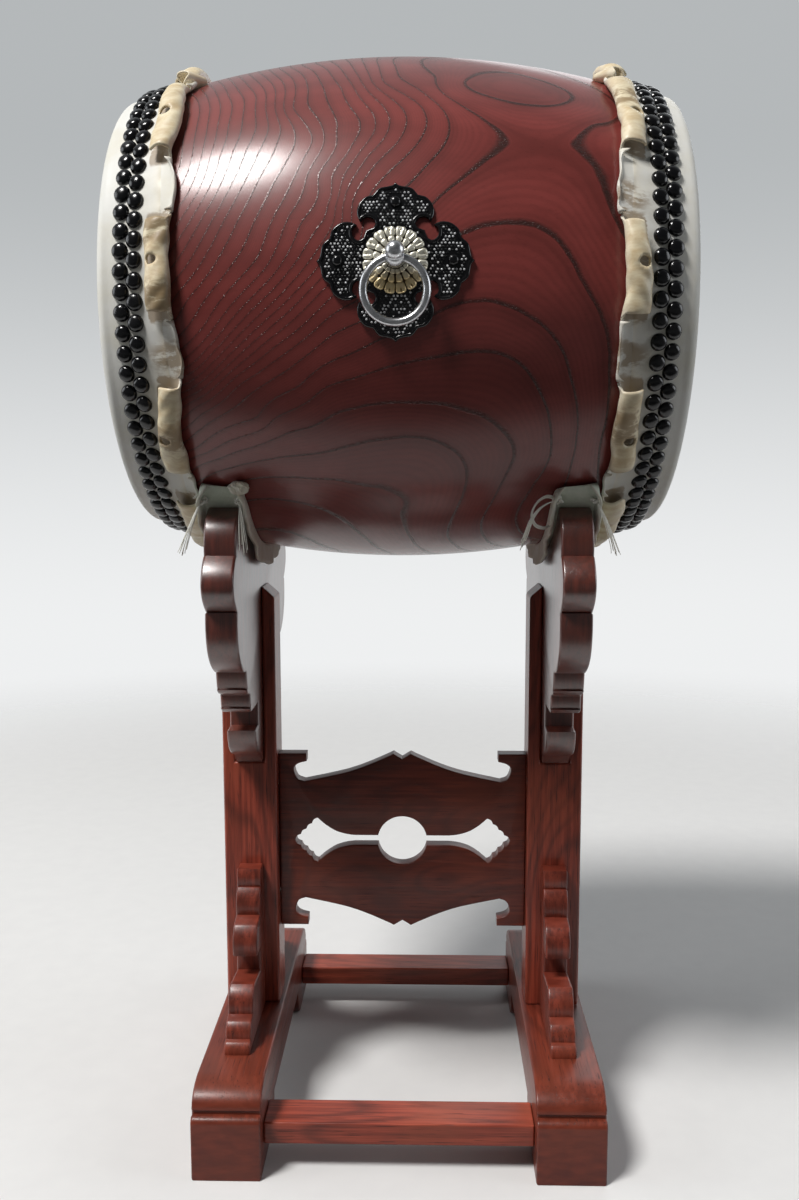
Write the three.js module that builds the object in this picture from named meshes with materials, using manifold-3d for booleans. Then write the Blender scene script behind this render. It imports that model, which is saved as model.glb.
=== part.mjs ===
import * as THREE from "three";
import { mergeVertices } from "three/addons/utils/BufferGeometryUtils.js";
import Module from "manifold-3d";

// A barrel drum on a carved wooden stand. Millimetres, +Z up. The drum's axis runs along X,
// the front is towards -Y, and the origin is on the floor under the middle of the drum.

// Gaps and tool values shared by every piece
const fit = 0.3; // gap between two pieces that touch
const overrun = 6; // how far a cutting tool runs past what it cuts
const weld = 0.001; // vertices closer than this are one vertex

// Barrel
const barrelLength = 593;
const bellyRadius = 283.6;
const mouthRadius = 235.8;
const barrelWall = 36;
const mouthRound = 8; // rounding of the rim that the hide is pulled over
const axisHeight = 954;
const drumRoll = -0.06; // radians that the drum is rolled in its cradle, front upwards
const turnSides = 48;
const bellyStationShares = [0.27, 0.52]; // places along half the barrel where its curve is cut

// Hides
const hideThickness = 3;
const hemStart = 236; // distance from the middle where the hem leaves the wood
const hemEdge = 220; // distance from the middle of the curled edge
const hemLift = 6.5;
const hemSway = 3; // how far the edge wanders in and out
const hemWaves = 15;
const hemLiftWaveShare = 0.38;

// Tacks, two staggered rows on each head
const tackCount = 78;
const tackRadius = 8.5;
const tackHeight = 6.5;
const tackRim = 0.8; // thickness of the rims where the tacks touch each other
const outerTackRow = 271.5;
const innerTackRow = 258.2;

// Ring fitting
const plateReach = 75;
const plateThickness = 2.5;
const studRadius = 4.5;
const studHeight = 3.6;
const studPlace = 55;
const rosetteRadius = 31.5;
const rosettePetals = 16;
const rosetteTierHeight = 2.3;
const rosetteTierShares = [1, 0.78, 0.54];
const petalDipShare = 0.93;
const shankRadius = 5;
const shankTail = 19; // length of the shank past the wall's inner face
const eyeRadius = 10.5;
const knobRadius = 9.25;
const knobRise = 4;
const knobReach = 6.5; // how far the knob's centre stands out past the ring's pivot
const pivotStandoff = 16; // ring's pivot above the barrel's surface
const ringRadius = 30; // to the middle of the wire
const ringWire = 4; // radius of the wire
const washerHalf = 12;
const washerThickness = 3;
const nutRadius = 10;
const nutThickness = 8;

// Stand
const sideCentre = 189; // distance of each side frame from the middle
const sledWidth = 77;
const sledReach = 236;
const sledTop = 100.5;
const sledFlatReach = 203;
const noseReach = 228;
const noseFoot = 77;
const ledgeHeight = 72;
const ledgeRound = 8;
const archHeight = 38;
const archReach = 150;
const archRun = 28;
const postWidth = 67;
const postDepth = 54;
const postGap = 35.9; // from the barrel's lowest line down to the post's top
const postTop = axisHeight - bellyRadius - postGap;
const cheekDrop = 14; // fall of the post's sloped top from the board to the post's side
const tenonWidth = 36;
const tenonDepth = 30;
const tenonLength = 42;
const stretcherPlace = 191.2;
const stretcherDepth = 47;
const stretcherBase = 30;
const stretcherHeight = 25.4;
const stretcherTenon = 15;
const stretcherShoulder = 6;

// Cradle arms and their pads
const armThickness = 35;
const armReach = 200;
const armFoot = 415;
const cradleHalfAngle = 0.646;
const cradleSteps = 6;
const padWidth = 52;
const padThickness = 5; // at the pad's thin, inner edge
const padFlap = 20; // how far the pad hangs down beside the arm
const padLap = 2; // how deep the flaps run into the pad's top
const padOverhangSteps = 1; // how many cradle steps the pad runs past the arm's tip

// Foot brackets
const bracketThickness = 30;
const bracketReach = 128;
const bracketHeight = 183.5;

// Connecting board
const boardThickness = 20;
const boardCentre = 309;
const boardHalfHeight = 112;
const boardHole = 31; // radius of the round middle of the cut-out
const cutReach = 135.5;
const cutHeight = 32;
const boardTenonHalf = 70;
const boardTenonLength = 16;

// Ties
const cordRadius = 1.2;
const cordSides = 8;
const cordStepShare = 3; // length of a step along a cord, in diameters
const knotRadius = 4.5;
const knotSpread = 19.5; // distance of each knot from the middle of the pad
const knotAngleSteps = 6.6; // cradle steps from straight down to the knots

const wasm = await Module();
wasm.setup();

// A closed geometry as a solid with its faces pointing out.
function solidOf(geometry) {
  const bare = geometry.clone();
  bare.deleteAttribute("normal");
  bare.deleteAttribute("uv");
  const merged = mergeVertices(bare, weld);
  const triVerts = new Uint32Array(merged.index.array);
  const vertProperties = merged.attributes.position.array;
  const make = () => new wasm.Manifold(new wasm.Mesh({ numProp: 3, vertProperties, triVerts }));
  const made = make();
  if (made.volume() > 0) return made;
  triVerts.reverse();
  return make();
}

// A solid back as a geometry that three.js draws.
function geometryOf(solid) {
  const { vertProperties, triVerts } = solid.getMesh();
  const geometry = new THREE.BufferGeometry();
  geometry.setAttribute("position", new THREE.BufferAttribute(vertProperties, 3));
  geometry.setIndex(new THREE.BufferAttribute(triVerts, 1));
  geometry.computeVertexNormals();
  return geometry;
}

const cut = (geometry, ...tools) =>
  geometryOf(tools.reduce((rest, tool) => rest.subtract(solidOf(tool)), solidOf(geometry)));
const join = (first, ...others) =>
  geometryOf(others.reduce((sum, other) => sum.add(solidOf(other)), solidOf(first)));
const common = (a, b) => geometryOf(solidOf(a).intersect(solidOf(b)));
const faced = (geometry) => geometryOf(solidOf(geometry));

// A box between two corners.
function box([x0, y0, z0], [x1, y1, z1]) {
  const block = new THREE.BoxGeometry(x1 - x0, y1 - y0, z1 - z0);
  return block.translate((x0 + x1) / 2, (y0 + y1) / 2, (z0 + z1) / 2);
}

// An outline of [across, up] points with holes, extruded to a thickness centred on its plane.
function prism(outline, thickness, holes = []) {
  const vectors = (points) => points.map(([u, v]) => new THREE.Vector2(u, v));
  const shape = new THREE.Shape(vectors(outline));
  shape.holes = holes.map((hole) => new THREE.Path(vectors(hole)));
  const body = new THREE.ExtrudeGeometry(shape, { depth: thickness, bevelEnabled: false });
  return body.translate(0, 0, -thickness / 2);
}
const facingFront = (outline, thickness, holes) =>
  prism(outline, thickness, holes).rotateX(Math.PI / 2);
const facingSide = (outline, thickness) => facingFront(outline, thickness).rotateZ(Math.PI / 2);

// An outline's half, read from top to bottom, followed by its mirror image.
const mirrored = (half) => [...half, ...half.map(([u, v]) => [-u, v]).reverse()];

// A profile of [radius, x] points turned about the drum's axis, angle 0 at the top and rising to the front.
function turned(profile, sides = turnSides) {
  const lathe = new THREE.LatheGeometry(
    profile.map(([radius, x]) => new THREE.Vector2(radius, x)),
    sides,
  );
  return lathe.rotateZ(-Math.PI / 2);
}

// A closed section of [x, radius] points carried round the drum's axis, angles from straight down.
function carried(outline, angles) {
  const flat = outline.map(([x, radius]) => new THREE.Vector2(x, radius));
  if (THREE.ShapeUtils.isClockWise(flat)) flat.reverse();
  const section = flat.map(({ x, y }) => [x, y]);
  const points = angles.flatMap((angle) =>
    section.map(([x, radius]) => [x, -radius * Math.sin(angle), -radius * Math.cos(angle)]),
  );
  const count = section.length;
  const last = (angles.length - 1) * count;
  const faces = [];
  for (let ring = 0; ring < last; ring += count)
    for (let i = 0; i < count; i += 1) {
      const j = (i + 1) % count;
      faces.push(ring + i, ring + j, ring + count + i, ring + j, ring + count + j, ring + count + i);
    }
  for (const [a, b, c] of THREE.ShapeUtils.triangulateShape(flat, []))
    faces.push(c, b, a, last + a, last + b, last + c);
  const geometry = new THREE.BufferGeometry();
  geometry.setAttribute("position", new THREE.Float32BufferAttribute(points.flat(), 3));
  geometry.setIndex(faces);
  return faced(geometry);
}

// A run of points from one corner to the next, bulging outwards by a share of its length.
function bulged([u0, v0], [u1, v1], bulgeShare) {
  const steps = bulgeShare ? 4 : 1;
  return Array.from({ length: steps }, (_, i) => {
    const t = (i + 1) / steps;
    const rise = 4 * bulgeShare * t * (1 - t);
    return [u0 + (u1 - u0) * t + (v1 - v0) * rise, v0 + (v1 - v0) * t - (u1 - u0) * rise];
  });
}

// Corners of [u, v, bulge share] joined into one carved edge.
const carvedEdge = (start, corners) =>
  corners.reduce(
    (edge, [u, v, bulgeShare]) => [...edge, ...bulged(edge.at(-1), [u, v], bulgeShare)],
    [start],
  );

// Materials
const finish = (color, roughness, metalness = 0) =>
  new THREE.MeshStandardMaterial({ color, roughness, metalness });
const lacquer = () => finish(0x5a1a17, 0.25);
const rosewood = () => finish(0x4a1714, 0.3);
const hide = () => finish(0xd8ceb2, 0.6);
const blackIron = () => finish(0x0b0b0c, 0.2, 0.5);
const pewter = () => finish(0xa8a9ad, 0.3, 0.9);
const gilt = () => finish(0xc9bd8c, 0.35, 0.8);
const padCloth = () => finish(0x8f9684, 0.85);
const string = () => finish(0xe9e6d6, 0.8);

function mesh(name, geometry, material) {
  const made = new THREE.Mesh(geometry, material);
  made.name = name;
  return made;
}

const part = new THREE.Group();
const drum = new THREE.Group();
drum.position.z = axisHeight;
drum.rotation.x = drumRoll;
part.add(drum);

// The barrel

const halfLength = barrelLength / 2;
const barrelRadius = (x) =>
  bellyRadius - (bellyRadius - mouthRadius) * (x / halfLength) ** 2;
const roundStart = halfLength - mouthRound;
const skirtMiddle = (hemStart + roundStart) / 2;
const slope = (x) => (-2 * (bellyRadius - mouthRadius) * x) / halfLength ** 2;

// The corner of the rim at half its turn, moved out by a distance.
function rimPoint(out) {
  const along = Math.SQRT1_2 * (mouthRound + out);
  return [barrelRadius(roundStart) - mouthRound + along, roundStart + along];
}

function barrel() {
  const stations = [
    ...bellyStationShares.map((share) => share * halfLength),
    hemEdge,
    skirtMiddle,
    roundStart,
  ];
  const outside = [
    ...stations.map((x) => [barrelRadius(x), x]),
    rimPoint(0),
    [barrelRadius(roundStart) - mouthRound, halfLength],
  ];
  const inside = [halfLength, bellyStationShares[0] * halfLength].map((x) => [
    barrelRadius(x) - barrelWall,
    x,
  ]);
  const right = [[bellyRadius, 0], ...outside, ...inside, [bellyRadius - barrelWall, 0]];
  const left = right.slice(1, -1).map(([radius, x]) => [radius, -x]);
  return turned([...right, ...left.reverse(), right[0]]);
}

const shankHole = () =>
  new THREE.CylinderGeometry(shankRadius + fit, shankRadius + fit, 2 * (bellyRadius + overrun), 12);

drum.add(mesh("drum_body", cut(barrel(), shankHole()), lacquer()));

// The hides, each one cap over a mouth with a curled hem

function headProfile() {
  const outer = fit + hideThickness;
  const flat = barrelRadius(roundStart) - mouthRound;
  const over = (x, out) => [barrelRadius(x) + out, x];
  const middle = (hemStart + hemEdge) / 2;
  return [
    [0, halfLength + outer],
    [flat, halfLength + outer],
    rimPoint(outer),
    over(roundStart, outer),
    over(skirtMiddle, outer),
    over(hemStart, outer),
    over(middle, outer),
    over(hemEdge, outer),
    over(hemEdge, fit),
    over(hemStart, fit),
    over(skirtMiddle, fit),
    over(roundStart, fit),
    rimPoint(fit),
    [flat, halfLength + fit],
    [0, halfLength + fit],
  ];
}
const hemPointShares = new Map([
  [6, [1, 0.5]],
  [7, [0.8, 1]],
  [8, [0.3, 1]],
]); // shares of the hem's lift and sway taken by the profile's hem points

// Moves each point of a turned profile outwards by a rise and along the axis by a slide.
function reshaped(body, pointCount, move) {
  const place = body.attributes.position;
  for (let i = 0; i < place.count; i += 1) {
    const [x, y, z] = [place.getX(i), place.getY(i), place.getZ(i)];
    const [rise, slide] = move(i % pointCount, Math.floor(i / pointCount), Math.atan2(-y, z));
    const grow = rise ? 1 + rise / Math.hypot(y, z) : 1;
    place.setXYZ(i, x + slide, grow * y, grow * z);
  }
  return faced(body);
}

// The hem rises and wanders in waves round the drum.
function head() {
  const profile = headProfile();
  return reshaped(turned(profile), profile.length, (point, column, angle) => {
    const [liftShare, swayShare] = hemPointShares.get(point) ?? [0, 0];
    const lift = hemLift * (1 + hemLiftWaveShare * Math.sin(hemWaves * angle));
    return [liftShare * lift, swayShare * hemSway * Math.cos(hemWaves * angle)];
  });
}

// The tacks of one head, rims touching: a thin band with a crown at every tack of its two rows.
function tackBand() {
  const foot = hideThickness + 3 * fit;
  const between = (outerTackRow + innerTackRow) / 2;
  const places = [outerTackRow + tackRadius, outerTackRow, between, innerTackRow, innerTackRow - tackRadius];
  const profile = places.map((x) => [barrelRadius(x) + foot, x]);
  const band = turned([...profile, profile[0]], 2 * tackCount);
  const rowStarts = new Map([
    [1, 0],
    [3, 1],
  ]); // profile point of each row, with the column of its first crown
  return reshaped(band, profile.length + 1, (point, column) => {
    if (point % (profile.length - 1) === 0 || point === profile.length) return [0, 0];
    const crowned = rowStarts.get(point) === column % 2;
    return [crowned ? tackHeight : tackRim, 0];
  });
}

const headCap = head();
const tacks = tackBand();
for (const [side, turn] of [
  ["right", 0],
  ["left", Math.PI],
]) {
  const end = new THREE.Group();
  end.rotation.z = turn;
  end.add(mesh(`head_${side}`, headCap, hide()), mesh(`tacks_${side}`, tacks, blackIron()));
  drum.add(end);
}

// The ring fittings, front and back. Each is made at the top of the barrel and turned down to its side.

const plateTop = bellyRadius + fit + plateThickness;
const pivotRadius = bellyRadius + pivotStandoff;

// One eighth of the four-lobed plate, from the point of a lobe to the corner between two lobes.
const lobeShares = [
  [0, 1],
  [0.1, 0.95],
  [0.21, 0.92],
  [0.285, 0.83],
  [0.39, 0.8],
  [0.47, 0.7],
  [0.485, 0.58],
  [0.445, 0.485],
  [0.385, 0.54],
  [0.3, 0.535],
  [0.25, 0.47],
  [0.275, 0.405],
];
const plateCornerShare = 0.37;

function plateOutline() {
  const half = lobeShares.map(([u, v]) => [u * plateReach, v * plateReach]);
  const corner = [plateCornerShare * plateReach, plateCornerShare * plateReach];
  const across = half.slice(1).map(([u, v]) => [v, u]);
  const quarter = [...half, corner, ...across.reverse()];
  const opposite = (points) => points.map(([u, v]) => [-u, -v]);
  const next = quarter.map(([u, v]) => [v, -u]);
  return [...quarter, ...next, ...opposite(quarter), ...opposite(next)];
}

// The plate is bent to the barrel: a shell that follows the wood, trimmed to the outline.
function ringPlate() {
  const places = bellyStationShares.map((share) => share * halfLength);
  const inner = [...[...places].reverse(), 0, ...places.map((x) => -x)].map((x) => [
    x,
    barrelRadius(x) + fit,
  ]);
  const shell = [...inner, ...inner.map(([x, radius]) => [x, radius + plateThickness]).reverse()];
  const steps = Math.ceil(plateReach / ((bellyRadius * 2 * Math.PI) / turnSides)) + 1;
  const angles = [];
  for (let i = -steps; i <= steps; i += 1) angles.push(Math.PI + (i * 2 * Math.PI) / turnSides);
  const blank = prism(plateOutline(), 2 * plateReach).translate(0, 0, bellyRadius);
  return cut(common(carried(shell, angles), blank), upright(shankRadius + fit, plateReach));
}

// An upright bore through the fitting's middle.
const upright = (radius, length) =>
  new THREE.CylinderGeometry(radius, radius, length, 12)
    .rotateX(Math.PI / 2)
    .translate(0, 0, bellyRadius);

function rosette() {
  const base = plateTop + fit;
  const tiers = rosetteTierShares.map((share, tier) => {
    const outline = Array.from({ length: 2 * rosettePetals }, (_, i) => {
      const radius = share * rosetteRadius * (i % 2 ? petalDipShare : 1);
      const angle = ((i + tier) * Math.PI) / rosettePetals;
      return [radius * Math.sin(angle), radius * Math.cos(angle)];
    });
    const height = (tier + 1) * rosetteTierHeight;
    return prism(outline, height).translate(0, 0, base + height / 2);
  });
  const crown = base + tiers.length * rosetteTierHeight;
  const eyeThere = Math.sqrt(eyeRadius ** 2 - (pivotRadius - crown) ** 2);
  return cut(join(...tiers), upright(eyeThere + fit, plateReach));
}

// The eye post: a shank through the wall, an eye that the ring hangs in, and a round knob.
function eyePost() {
  const foot = bellyRadius - barrelWall - shankTail;
  const shank = new THREE.CylinderGeometry(shankRadius, shankRadius, pivotRadius - foot, 12)
    .rotateX(Math.PI / 2)
    .translate(0, 0, (pivotRadius + foot) / 2);
  const eye = new THREE.SphereGeometry(eyeRadius, 12, 6).translate(0, 0, pivotRadius);
  const knob = new THREE.SphereGeometry(knobRadius, 12, 7).translate(
    0,
    knobRise,
    pivotRadius + knobReach,
  );
  const wireDrop = ringRadius - Math.sqrt(ringRadius ** 2 - eyeRadius ** 2);
  const bore = ringWire + wireDrop + fit;
  const hole = new THREE.CylinderGeometry(bore, bore, 2 * eyeRadius + overrun, 12)
    .rotateZ(Math.PI / 2)
    .translate(0, 0, pivotRadius);
  return cut(join(shank, eye, knob), hole);
}

function stud(u, v) {
  const points = [
    [0, studHeight],
    [0.7 * studRadius, 0.7 * studHeight],
    [studRadius, 0],
    [0, 0],
  ].map(([radius, height]) => new THREE.Vector2(radius, height));
  const out = barrelRadius(Math.abs(u)) + plateThickness + 2 * fit;
  const dome = new THREE.LatheGeometry(points, 8).rotateX(Math.PI / 2);
  return faced(
    dome
      .rotateY(Math.atan(-slope(u)))
      .translate(u, 0, out)
      .rotateX(-v / bellyRadius),
  );
}

// Inside the barrel a washer and a nut hold each eye post.
const wallStation = bellyStationShares[0] * halfLength;
const innerBelly = bellyRadius - barrelWall;
const washerSag = ((innerBelly - (barrelRadius(wallStation) - barrelWall)) * washerHalf) / wallStation;
const washerSeat =
  Math.sqrt((innerBelly * Math.cos(Math.PI / turnSides)) ** 2 - washerHalf ** 2) - washerSag - fit;

function washer() {
  const plate = box(
    [-washerHalf, -washerHalf, washerSeat - washerThickness],
    [washerHalf, washerHalf, washerSeat],
  );
  return cut(plate, upright(shankRadius + fit, 2 * bellyRadius));
}

function nut() {
  const blank = new THREE.CylinderGeometry(nutRadius, nutRadius, nutThickness, 6)
    .rotateX(Math.PI / 2)
    .translate(0, 0, washerSeat - washerThickness - fit - nutThickness / 2);
  return cut(blank, upright(shankRadius + fit, 2 * bellyRadius));
}

const plateGeometry = ringPlate();
const fittingPieces = {
  ring_plate: [plateGeometry, blackIron],
  rosette: [rosette(), gilt],
  eye_post: [eyePost(), pewter],
  post_washer: [washer(), blackIron],
  post_nut: [nut(), blackIron],
  stud_top: [stud(0, studPlace), blackIron],
  stud_bottom: [stud(0, -studPlace), blackIron],
  stud_right: [stud(studPlace, 0), blackIron],
  stud_left: [stud(-studPlace, 0), blackIron],
};
const ringGeometry = faced(new THREE.TorusGeometry(ringRadius, ringWire, 6, 24).rotateX(Math.PI / 2));

for (const [side, turn] of [
  ["front", 0],
  ["back", Math.PI],
]) {
  const spun = new THREE.Group();
  spun.rotation.z = turn;
  const laid = new THREE.Group();
  laid.rotation.x = Math.PI / 2;
  for (const [piece, [geometry, material]] of Object.entries(fittingPieces))
    laid.add(mesh(`${piece}_${side}`, geometry, material()));
  spun.add(laid);
  drum.add(spun);

  const forward = turn ? 1 : -1;
  const ring = mesh(`ring_${side}`, ringGeometry, pewter());
  ring.position.set(
    0,
    forward * pivotRadius * Math.cos(drumRoll),
    axisHeight + forward * pivotRadius * Math.sin(drumRoll) - ringRadius,
  );
  part.add(ring);
}

// The stand's side frames

const postBase = sledTop + fit;
const sideNames = [
  ["left", -1],
  ["right", 1],
];

function sledOutline() {
  const round = (cu, cv, ru, rv, steps) =>
    Array.from({ length: steps + 1 }, (_, i) => {
      const angle = ((i / steps) * Math.PI) / 2;
      return [cu + ru * Math.sin(angle), cv + rv * Math.cos(angle)];
    });
  const nose = round(sledFlatReach, noseFoot, noseReach - sledFlatReach, sledTop - noseFoot, 5);
  const ledge = round(sledReach - ledgeRound, ledgeHeight - ledgeRound, ledgeRound, ledgeRound, 2);
  const arch = round(archReach, archHeight, -archRun, -archHeight, 4);
  return mirrored([...nose, ...ledge, [sledReach, 0], ...arch]);
}

function sled() {
  const tenonHole = box(
    [-tenonWidth / 2 - fit, -tenonDepth / 2 - fit, sledTop - tenonLength - fit],
    [tenonWidth / 2 + fit, tenonDepth / 2 + fit, sledTop + overrun],
  );
  const stretcherHoles = [-1, 1].map((side) =>
    box(
      [
        sledWidth / 2 - stretcherTenon - fit,
        side * stretcherPlace - stretcherDepth / 2 + stretcherShoulder - fit,
        stretcherBase + stretcherShoulder - fit,
      ],
      [
        sledWidth / 2 + overrun,
        side * stretcherPlace + stretcherDepth / 2 - stretcherShoulder + fit,
        stretcherBase + stretcherHeight - stretcherShoulder + fit,
      ],
    ),
  );
  return cut(facingSide(sledOutline(), sledWidth), tenonHole, ...stretcherHoles);
}

function post() {
  const tenonFoot = sledTop - tenonLength;
  const half = [
    [armThickness / 2, postTop],
    [postWidth / 2, postTop - cheekDrop],
    [postWidth / 2, postBase],
  ];
  const blank = join(
    facingFront(mirrored(half), postDepth),
    box([-tenonWidth / 2, -tenonDepth / 2, tenonFoot], [tenonWidth / 2, tenonDepth / 2, postBase + overrun]),
  );
  const slot = box(
    [-armThickness / 2 - fit, -postDepth, armFoot - fit],
    [armThickness / 2 + fit, postDepth, postTop + overrun],
  );
  const mortise = box(
    [postWidth / 2 - boardTenonLength - fit, -boardThickness / 2 - fit, boardCentre - boardTenonHalf - fit],
    [postWidth / 2 + overrun, boardThickness / 2 + fit, boardCentre + boardTenonHalf + fit],
  );
  return cut(blank, slot, mortise);
}

// The cradle arms: boards through the post's slot, with carved clouds in front and behind

const step = cradleHalfAngle / cradleSteps;
const chordRelief = 1 / Math.cos(step / 2);
const padInner = sideCentre - padWidth / 2;
const padOuter = sideCentre + padWidth / 2;
const padSeat = (x) => (barrelRadius(x) + fit) * chordRelief;
const padBottom = padSeat(padInner) + padThickness;
const cradleRadius = padBottom + fit;
const onCradle = (angle, radius = cradleRadius) => [
  -radius * Math.sin(angle),
  axisHeight - radius * Math.cos(angle),
];

// Corners as shares of the arm's reach and of its drop from tip to foot, with each run's bulge.
const armShares = [
  [0.95, 0.166, 0.29],
  [0.95, 0.353, 0.17],
  [0.79, 0.569, 0.06],
  [0.655, 0.584, 0],
  [0.63, 0.659, 0.1],
  [0.56, 0.678, 0],
  [0.54, 0.734, 0.1],
  [0.3, 0.744, 0],
  [0.3, 0.791, 0],
  [0.375, 0.797, 0],
  [0.225, 0.953, 0.16],
  [0.2, 0.959, 0],
];

function arm() {
  const [tipReach, tipHeight] = onCradle(cradleHalfAngle);
  const drop = tipHeight - armFoot;
  const corners = armShares.map(([reach, fall, bulgeShare]) => [
    -reach * armReach,
    tipHeight - fall * drop,
    bulgeShare,
  ]);
  const edge = carvedEdge([tipReach, tipHeight], [...corners, [-postDepth / 2, armFoot, 0]]);
  const cradle = [];
  for (let i = 1 - cradleSteps; i < cradleSteps; i += 1) cradle.push(onCradle(i * step));
  return faced(facingSide([...mirrored(edge), ...cradle], armThickness));
}

// The pad: a folded strip laid over the arm's curved edge, with a flap down each side
function pad() {
  const top = [
    [padInner, padSeat(padInner)],
    [padOuter, padSeat(padOuter)],
    [padOuter, padBottom],
    [padInner, padBottom],
  ];
  const flap = (from, to) => [
    [from, padBottom - padLap],
    [to, padBottom - padLap],
    [to, padBottom + padFlap],
    [from, padBottom + padFlap],
  ];
  const board = armThickness / 2 + fit;
  const angles = (steps) => Array.from({ length: 2 * steps + 1 }, (_, i) => (i - steps) * step);
  return join(
    carried(top, angles(cradleSteps + padOverhangSteps)),
    carried(flap(padInner, sideCentre - board), angles(cradleSteps)),
    carried(flap(sideCentre + board, padOuter), angles(cradleSteps)),
  ).translate(0, 0, axisHeight);
}

// Foot brackets: carved boards that stand on the sled against the post

const bracketShares = [
  [0.154, 1, 0],
  [0.185, 0.878, 0.1],
  [0.248, 0.704, 0.12],
  [0.388, 0.68, 0],
  [0.459, 0.48, 0.15],
  [0.255, 0.48, 0],
  [0.255, 0.322, 0],
  [0.66, 0.355, 0],
  [0.771, 0.192, 0.15],
  [0.857, 0.175, 0],
  [0.92, 0.077, 0.12],
  [0.96, 0.07, 0],
  [1, 0, 0.12],
];

function footBracket() {
  const face = -postDepth / 2 - fit;
  const corners = bracketShares.map(([reach, rise, bulgeShare]) => [
    face - reach * bracketReach,
    postBase + rise * bracketHeight,
    bulgeShare,
  ]);
  const edge = carvedEdge([face, postBase + bracketHeight], corners);
  return faced(facingSide([...edge, [face, postBase]], bracketThickness));
}

const sledGeometry = sled();
const postGeometry = post();
const armGeometry = arm();
const bracketGeometry = footBracket();
const padGeometry = pad();

// One side frame, made with its inner side towards +X and turned round for the right side.
for (const [side, sign] of sideNames) {
  const frame = new THREE.Group();
  frame.position.x = sign * sideCentre;
  frame.rotation.z = sign > 0 ? Math.PI : 0;
  const behind = new THREE.Group();
  behind.rotation.z = Math.PI;
  const [near, far] = sign > 0 ? ["back", "front"] : ["front", "back"];
  frame.add(
    mesh(`sled_${side}`, sledGeometry, rosewood()),
    mesh(`post_${side}`, postGeometry, rosewood()),
    mesh(`cradle_arm_${side}`, armGeometry, rosewood()),
    mesh(`foot_bracket_${near}_${side}`, bracketGeometry, rosewood()),
    behind,
  );
  behind.add(mesh(`foot_bracket_${far}_${side}`, bracketGeometry, rosewood()));
  const padTurn = new THREE.Group();
  padTurn.rotation.z = sign > 0 ? 0 : Math.PI;
  padTurn.add(mesh(`cradle_pad_${side}`, padGeometry, padCloth()));
  part.add(frame, padTurn);
}

// The connecting board and the two stretchers

const boardHalf = sideCentre - postWidth / 2 - fit;

// The board's upper right quarter: the horn, its undercut hook, the long curve and the peak.
const boardShares = [
  [1, 1],
  [0.774, 1],
  [0.774, 0.91],
  [0.845, 0.88],
  [0.877, 0.82],
  [0.851, 0.715],
  [0.793, 0.68],
  [0.589, 0.74],
  [0.429, 0.795],
  [0.269, 0.875],
  [0.109, 0.973],
  [0.07, 1],
  [0, 0.94],
];

// The cut-out's right half above its middle line, from its point to the round hole.
const cutShares = [
  [0.908, 0.625],
  [0.863, 0.8],
  [0.79, 1],
  [0.716, 0.81],
  [0.627, 0.53],
  [0.539, 0.375],
  [0.458, 0.31],
];

function connectingBoard() {
  const upper = boardShares.map(([u, v]) => [u * boardHalf, v * boardHalfHeight]);
  const tenon = [
    [boardHalf, -boardTenonHalf],
    [boardHalf + boardTenonLength, -boardTenonHalf],
    [boardHalf + boardTenonLength, boardTenonHalf],
    [boardHalf, boardTenonHalf],
  ];
  const lower = upper.map(([u, v]) => [u, -v]).reverse();
  const right = [...lower, ...tenon, ...upper];
  const left = right.slice(1, -1).map(([u, v]) => [-u, v]).reverse();

  const wing = cutShares.map(([u, v]) => [u * cutReach, v * cutHeight]);
  const neck = wing.at(-1)[1];
  const startAngle = Math.asin(neck / boardHole);
  const dome = Array.from({ length: 7 }, (_, i) => {
    const angle = startAngle + ((Math.PI - 2 * startAngle) * i) / 6;
    return [boardHole * Math.cos(angle), boardHole * Math.sin(angle)];
  });
  const top = [[cutReach, 0], ...wing, ...dome, ...wing.map(([u, v]) => [-u, v]).reverse()];
  const opening = [...top, ...top.map(([u, v]) => [-u, -v])];
  return faced(facingFront([...right, ...left], boardThickness, [opening])).translate(
    0,
    0,
    boardCentre,
  );
}

function stretcher() {
  const shoulder = sideCentre - sledWidth / 2 - fit;
  const tip = shoulder + stretcherTenon;
  const bar = box(
    [-shoulder, -stretcherDepth / 2, stretcherBase],
    [shoulder, stretcherDepth / 2, stretcherBase + stretcherHeight],
  );
  const tenon = box(
    [-tip, stretcherShoulder - stretcherDepth / 2, stretcherBase + stretcherShoulder],
    [tip, stretcherDepth / 2 - stretcherShoulder, stretcherBase + stretcherHeight - stretcherShoulder],
  );
  return join(bar, tenon);
}

part.add(mesh("connecting_board", connectingBoard(), rosewood()));
const stretcherGeometry = stretcher();
for (const [side, forward] of [
  ["front", -1],
  ["back", 1],
]) {
  const bar = mesh(`stretcher_${side}`, stretcherGeometry, rosewood());
  bar.position.y = forward * stretcherPlace;
  part.add(bar);
}

// The strings that tie the pads to the arms: a knot at each corner and its loose tail

const knotAngle = knotAngleSteps * step;
const [knotForward, knotHeight] = onCradle(knotAngle, padBottom + fit + knotRadius);

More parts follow.
